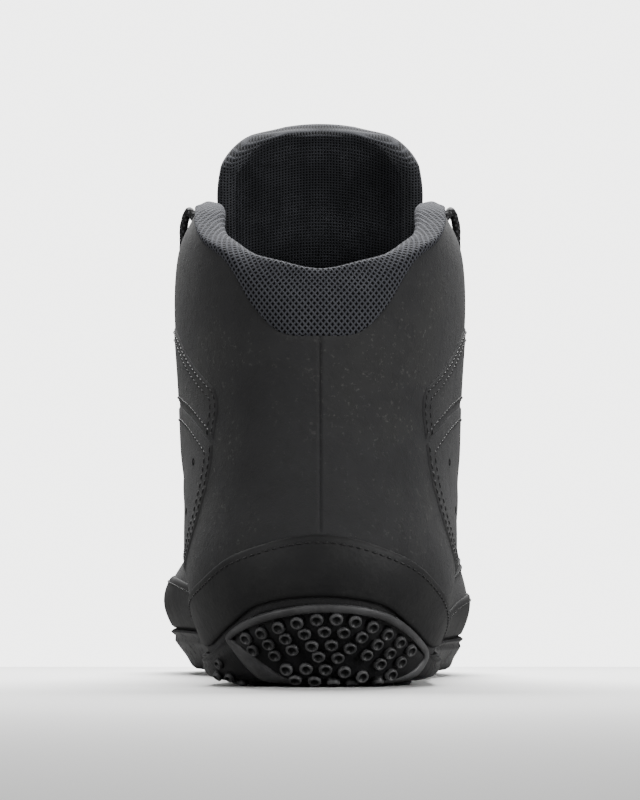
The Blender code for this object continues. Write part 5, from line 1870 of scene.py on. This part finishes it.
class ShoeSizes(bpy.types.PropertyGroup):
    """Sizes and colours of the dressed shoe that a user would change."""

    columns: IntProperty(
        name="Columns", description="Columns of the upper round the shoe", default=352, min=64,
    )
    rows: IntProperty(
        name="Rows", description="Rows of the upper from the sole to its edge", default=110, min=20,
    )
    collar_sections: IntProperty(
        name="Collar sections", description="Sections along the collar", default=180, min=20,
    )
    seam_depth: FloatProperty(
        name="Seam depth", description="Depth of the centre-back seam",
        default=0.45 * MM, min=0.0, precision=5, unit="LENGTH",
    )
    stitch_pitch: FloatProperty(
        name="Stitch pitch", description="From the start of one stitch to the next",
        default=2.45 * MM, min=1.0 * MM, precision=5, unit="LENGTH",
    )
    stitch_length: FloatProperty(
        name="Stitch length", description="Length of one stitch",
        default=1.85 * MM, min=0.5 * MM, precision=5, unit="LENGTH",
    )
    ambient: FloatProperty(
        name="Ambient", description="Strength of the studio's even light", default=0.16, min=0.0,
    )
    backdrop: FloatProperty(
        name="Backdrop", description="Brightness of the backdrop itself", default=4.8, min=0.0,
    )
    light_power: FloatProperty(
        name="Light power", description="Share of the softboxes' full power", default=1.0, min=0.0,
    )
    nubuck_colour: FloatVectorProperty(
        name="Nubuck", description="Colour of the nubuck", subtype="COLOR",
        default=linear("#323233")[:3], min=0.0, max=1.0,
    )
    rubber_colour: FloatVectorProperty(
        name="Rubber", description="Colour of the sole", subtype="COLOR",
        default=linear("#131314")[:3], min=0.0, max=1.0,
    )
    mesh_colour: FloatVectorProperty(
        name="Mesh thread", description="Colour of the collar's threads", subtype="COLOR",
        default=linear("#595a5f")[:3], min=0.0, max=1.0,
    )


class SHOE_OT_stage(bpy.types.Operator):
    """Floor, lights and camera"""

    bl_idname = "shoe.stage"
    bl_label = "Stage"

    def execute(self, context):
        build_stage(context.scene.shoe_sizes)
        return {"FINISHED"}


class SHOE_OT_upper(bpy.types.Operator):
    """Folded nubuck upper with its lining"""

    bl_idname = "shoe.upper"
    bl_label = "Upper"

    def execute(self, context):
        build_upper(context.scene.shoe_sizes)
        return {"FINISHED"}


class SHOE_OT_collar(bpy.types.Operator):
    """Padded mesh collar"""

    bl_idname = "shoe.collar"
    bl_label = "Collar"

    def execute(self, context):
        build_collar(context.scene.shoe_sizes)
        return {"FINISHED"}


class SHOE_OT_tongue(bpy.types.Operator):
    """Padded mesh tongue"""

    bl_idname = "shoe.tongue"
    bl_label = "Tongue"

    def execute(self, context):
        build_tongue(context.scene.shoe_sizes)
        return {"FINISHED"}


class SHOE_OT_panels(bpy.types.Operator):
    """Heel counter, toe rand, eyestay and the side panels"""

    bl_idname = "shoe.panels"
    bl_label = "Panels"

    def execute(self, context):
        build_panels(context.scene.shoe_sizes)
        return {"FINISHED"}


class SHOE_OT_stitching(bpy.types.Operator):
    """Every sewn row"""

    bl_idname = "shoe.stitching"
    bl_label = "Stitching"

    def execute(self, context):
        build_stitching(context.scene.shoe_sizes)
        return {"FINISHED"}


class SHOE_OT_eyelets(bpy.types.Operator):
    """Rolled eyelets and the breathing holes"""

    bl_idname = "shoe.eyelets"
    bl_label = "Eyelets"

    def execute(self, context):
        build_eyelets(context.scene.shoe_sizes)
        return {"FINISHED"}


class SHOE_OT_lace(bpy.types.Operator):
    """Braided lace through the eyelets"""

    bl_idname = "shoe.lace"
    bl_label = "Lace"

    def execute(self, context):
        build_lace(context.scene.shoe_sizes)
        return {"FINISHED"}


class SHOE_OT_outsole(bpy.types.Operator):
    """Rubber cup sole with its pod, lugs and pads"""

    bl_idname = "shoe.outsole"
    bl_label = "Outsole"

    def execute(self, context):
        build_outsole(context.scene.shoe_sizes)
        return {"FINISHED"}


class SHOE_OT_insole(bpy.types.Operator):
    """Foam insole"""

    bl_idname = "shoe.insole"
    bl_label = "Insole"

    def execute(self, context):
        build_insole(context.scene.shoe_sizes)
        return {"FINISHED"}


STEPS = (
    SHOE_OT_stage, SHOE_OT_outsole, SHOE_OT_insole, SHOE_OT_upper, SHOE_OT_collar, SHOE_OT_tongue,
    SHOE_OT_panels, SHOE_OT_stitching, SHOE_OT_eyelets, SHOE_OT_lace,
)


class SHOE_PT_panel(bpy.types.Panel):
    """Sizes and steps of the shoe"""

    bl_idname = "SHOE_PT_panel"
    bl_label = "Wrestling Shoe"
    bl_space_type = "VIEW_3D"
    bl_region_type = "UI"
    bl_category = "Shoe"

    def draw(self, context):
        for name in ShoeSizes.__annotations__:
            self.layout.prop(context.scene.shoe_sizes, name)
        for step in STEPS:
            self.layout.operator(step.bl_idname)


CLASSES = (ShoeSizes, *STEPS, SHOE_PT_panel)


def register():
    """Adds the settings, the steps and the panel to Blender."""
    for one in CLASSES:
        bpy.utils.register_class(one)
    bpy.types.Scene.shoe_sizes = PointerProperty(type=ShoeSizes)


def unregister():
    """Takes them out again."""
    del bpy.types.Scene.shoe_sizes
    for one in reversed(CLASSES):
        bpy.utils.unregister_class(one)


def main():
    """Builds the whole scene, one step after the other."""
    register()
    bpy.ops.shoe.stage()
    bpy.ops.shoe.outsole()
    bpy.ops.shoe.insole()
    bpy.ops.shoe.upper()
    bpy.ops.shoe.collar()
    bpy.ops.shoe.tongue()
    bpy.ops.shoe.panels()
    bpy.ops.shoe.stitching()
    bpy.ops.shoe.eyelets()
    bpy.ops.shoe.lace()
    bpy.context.view_layer.update()


if __name__ == "__main__":
    main()
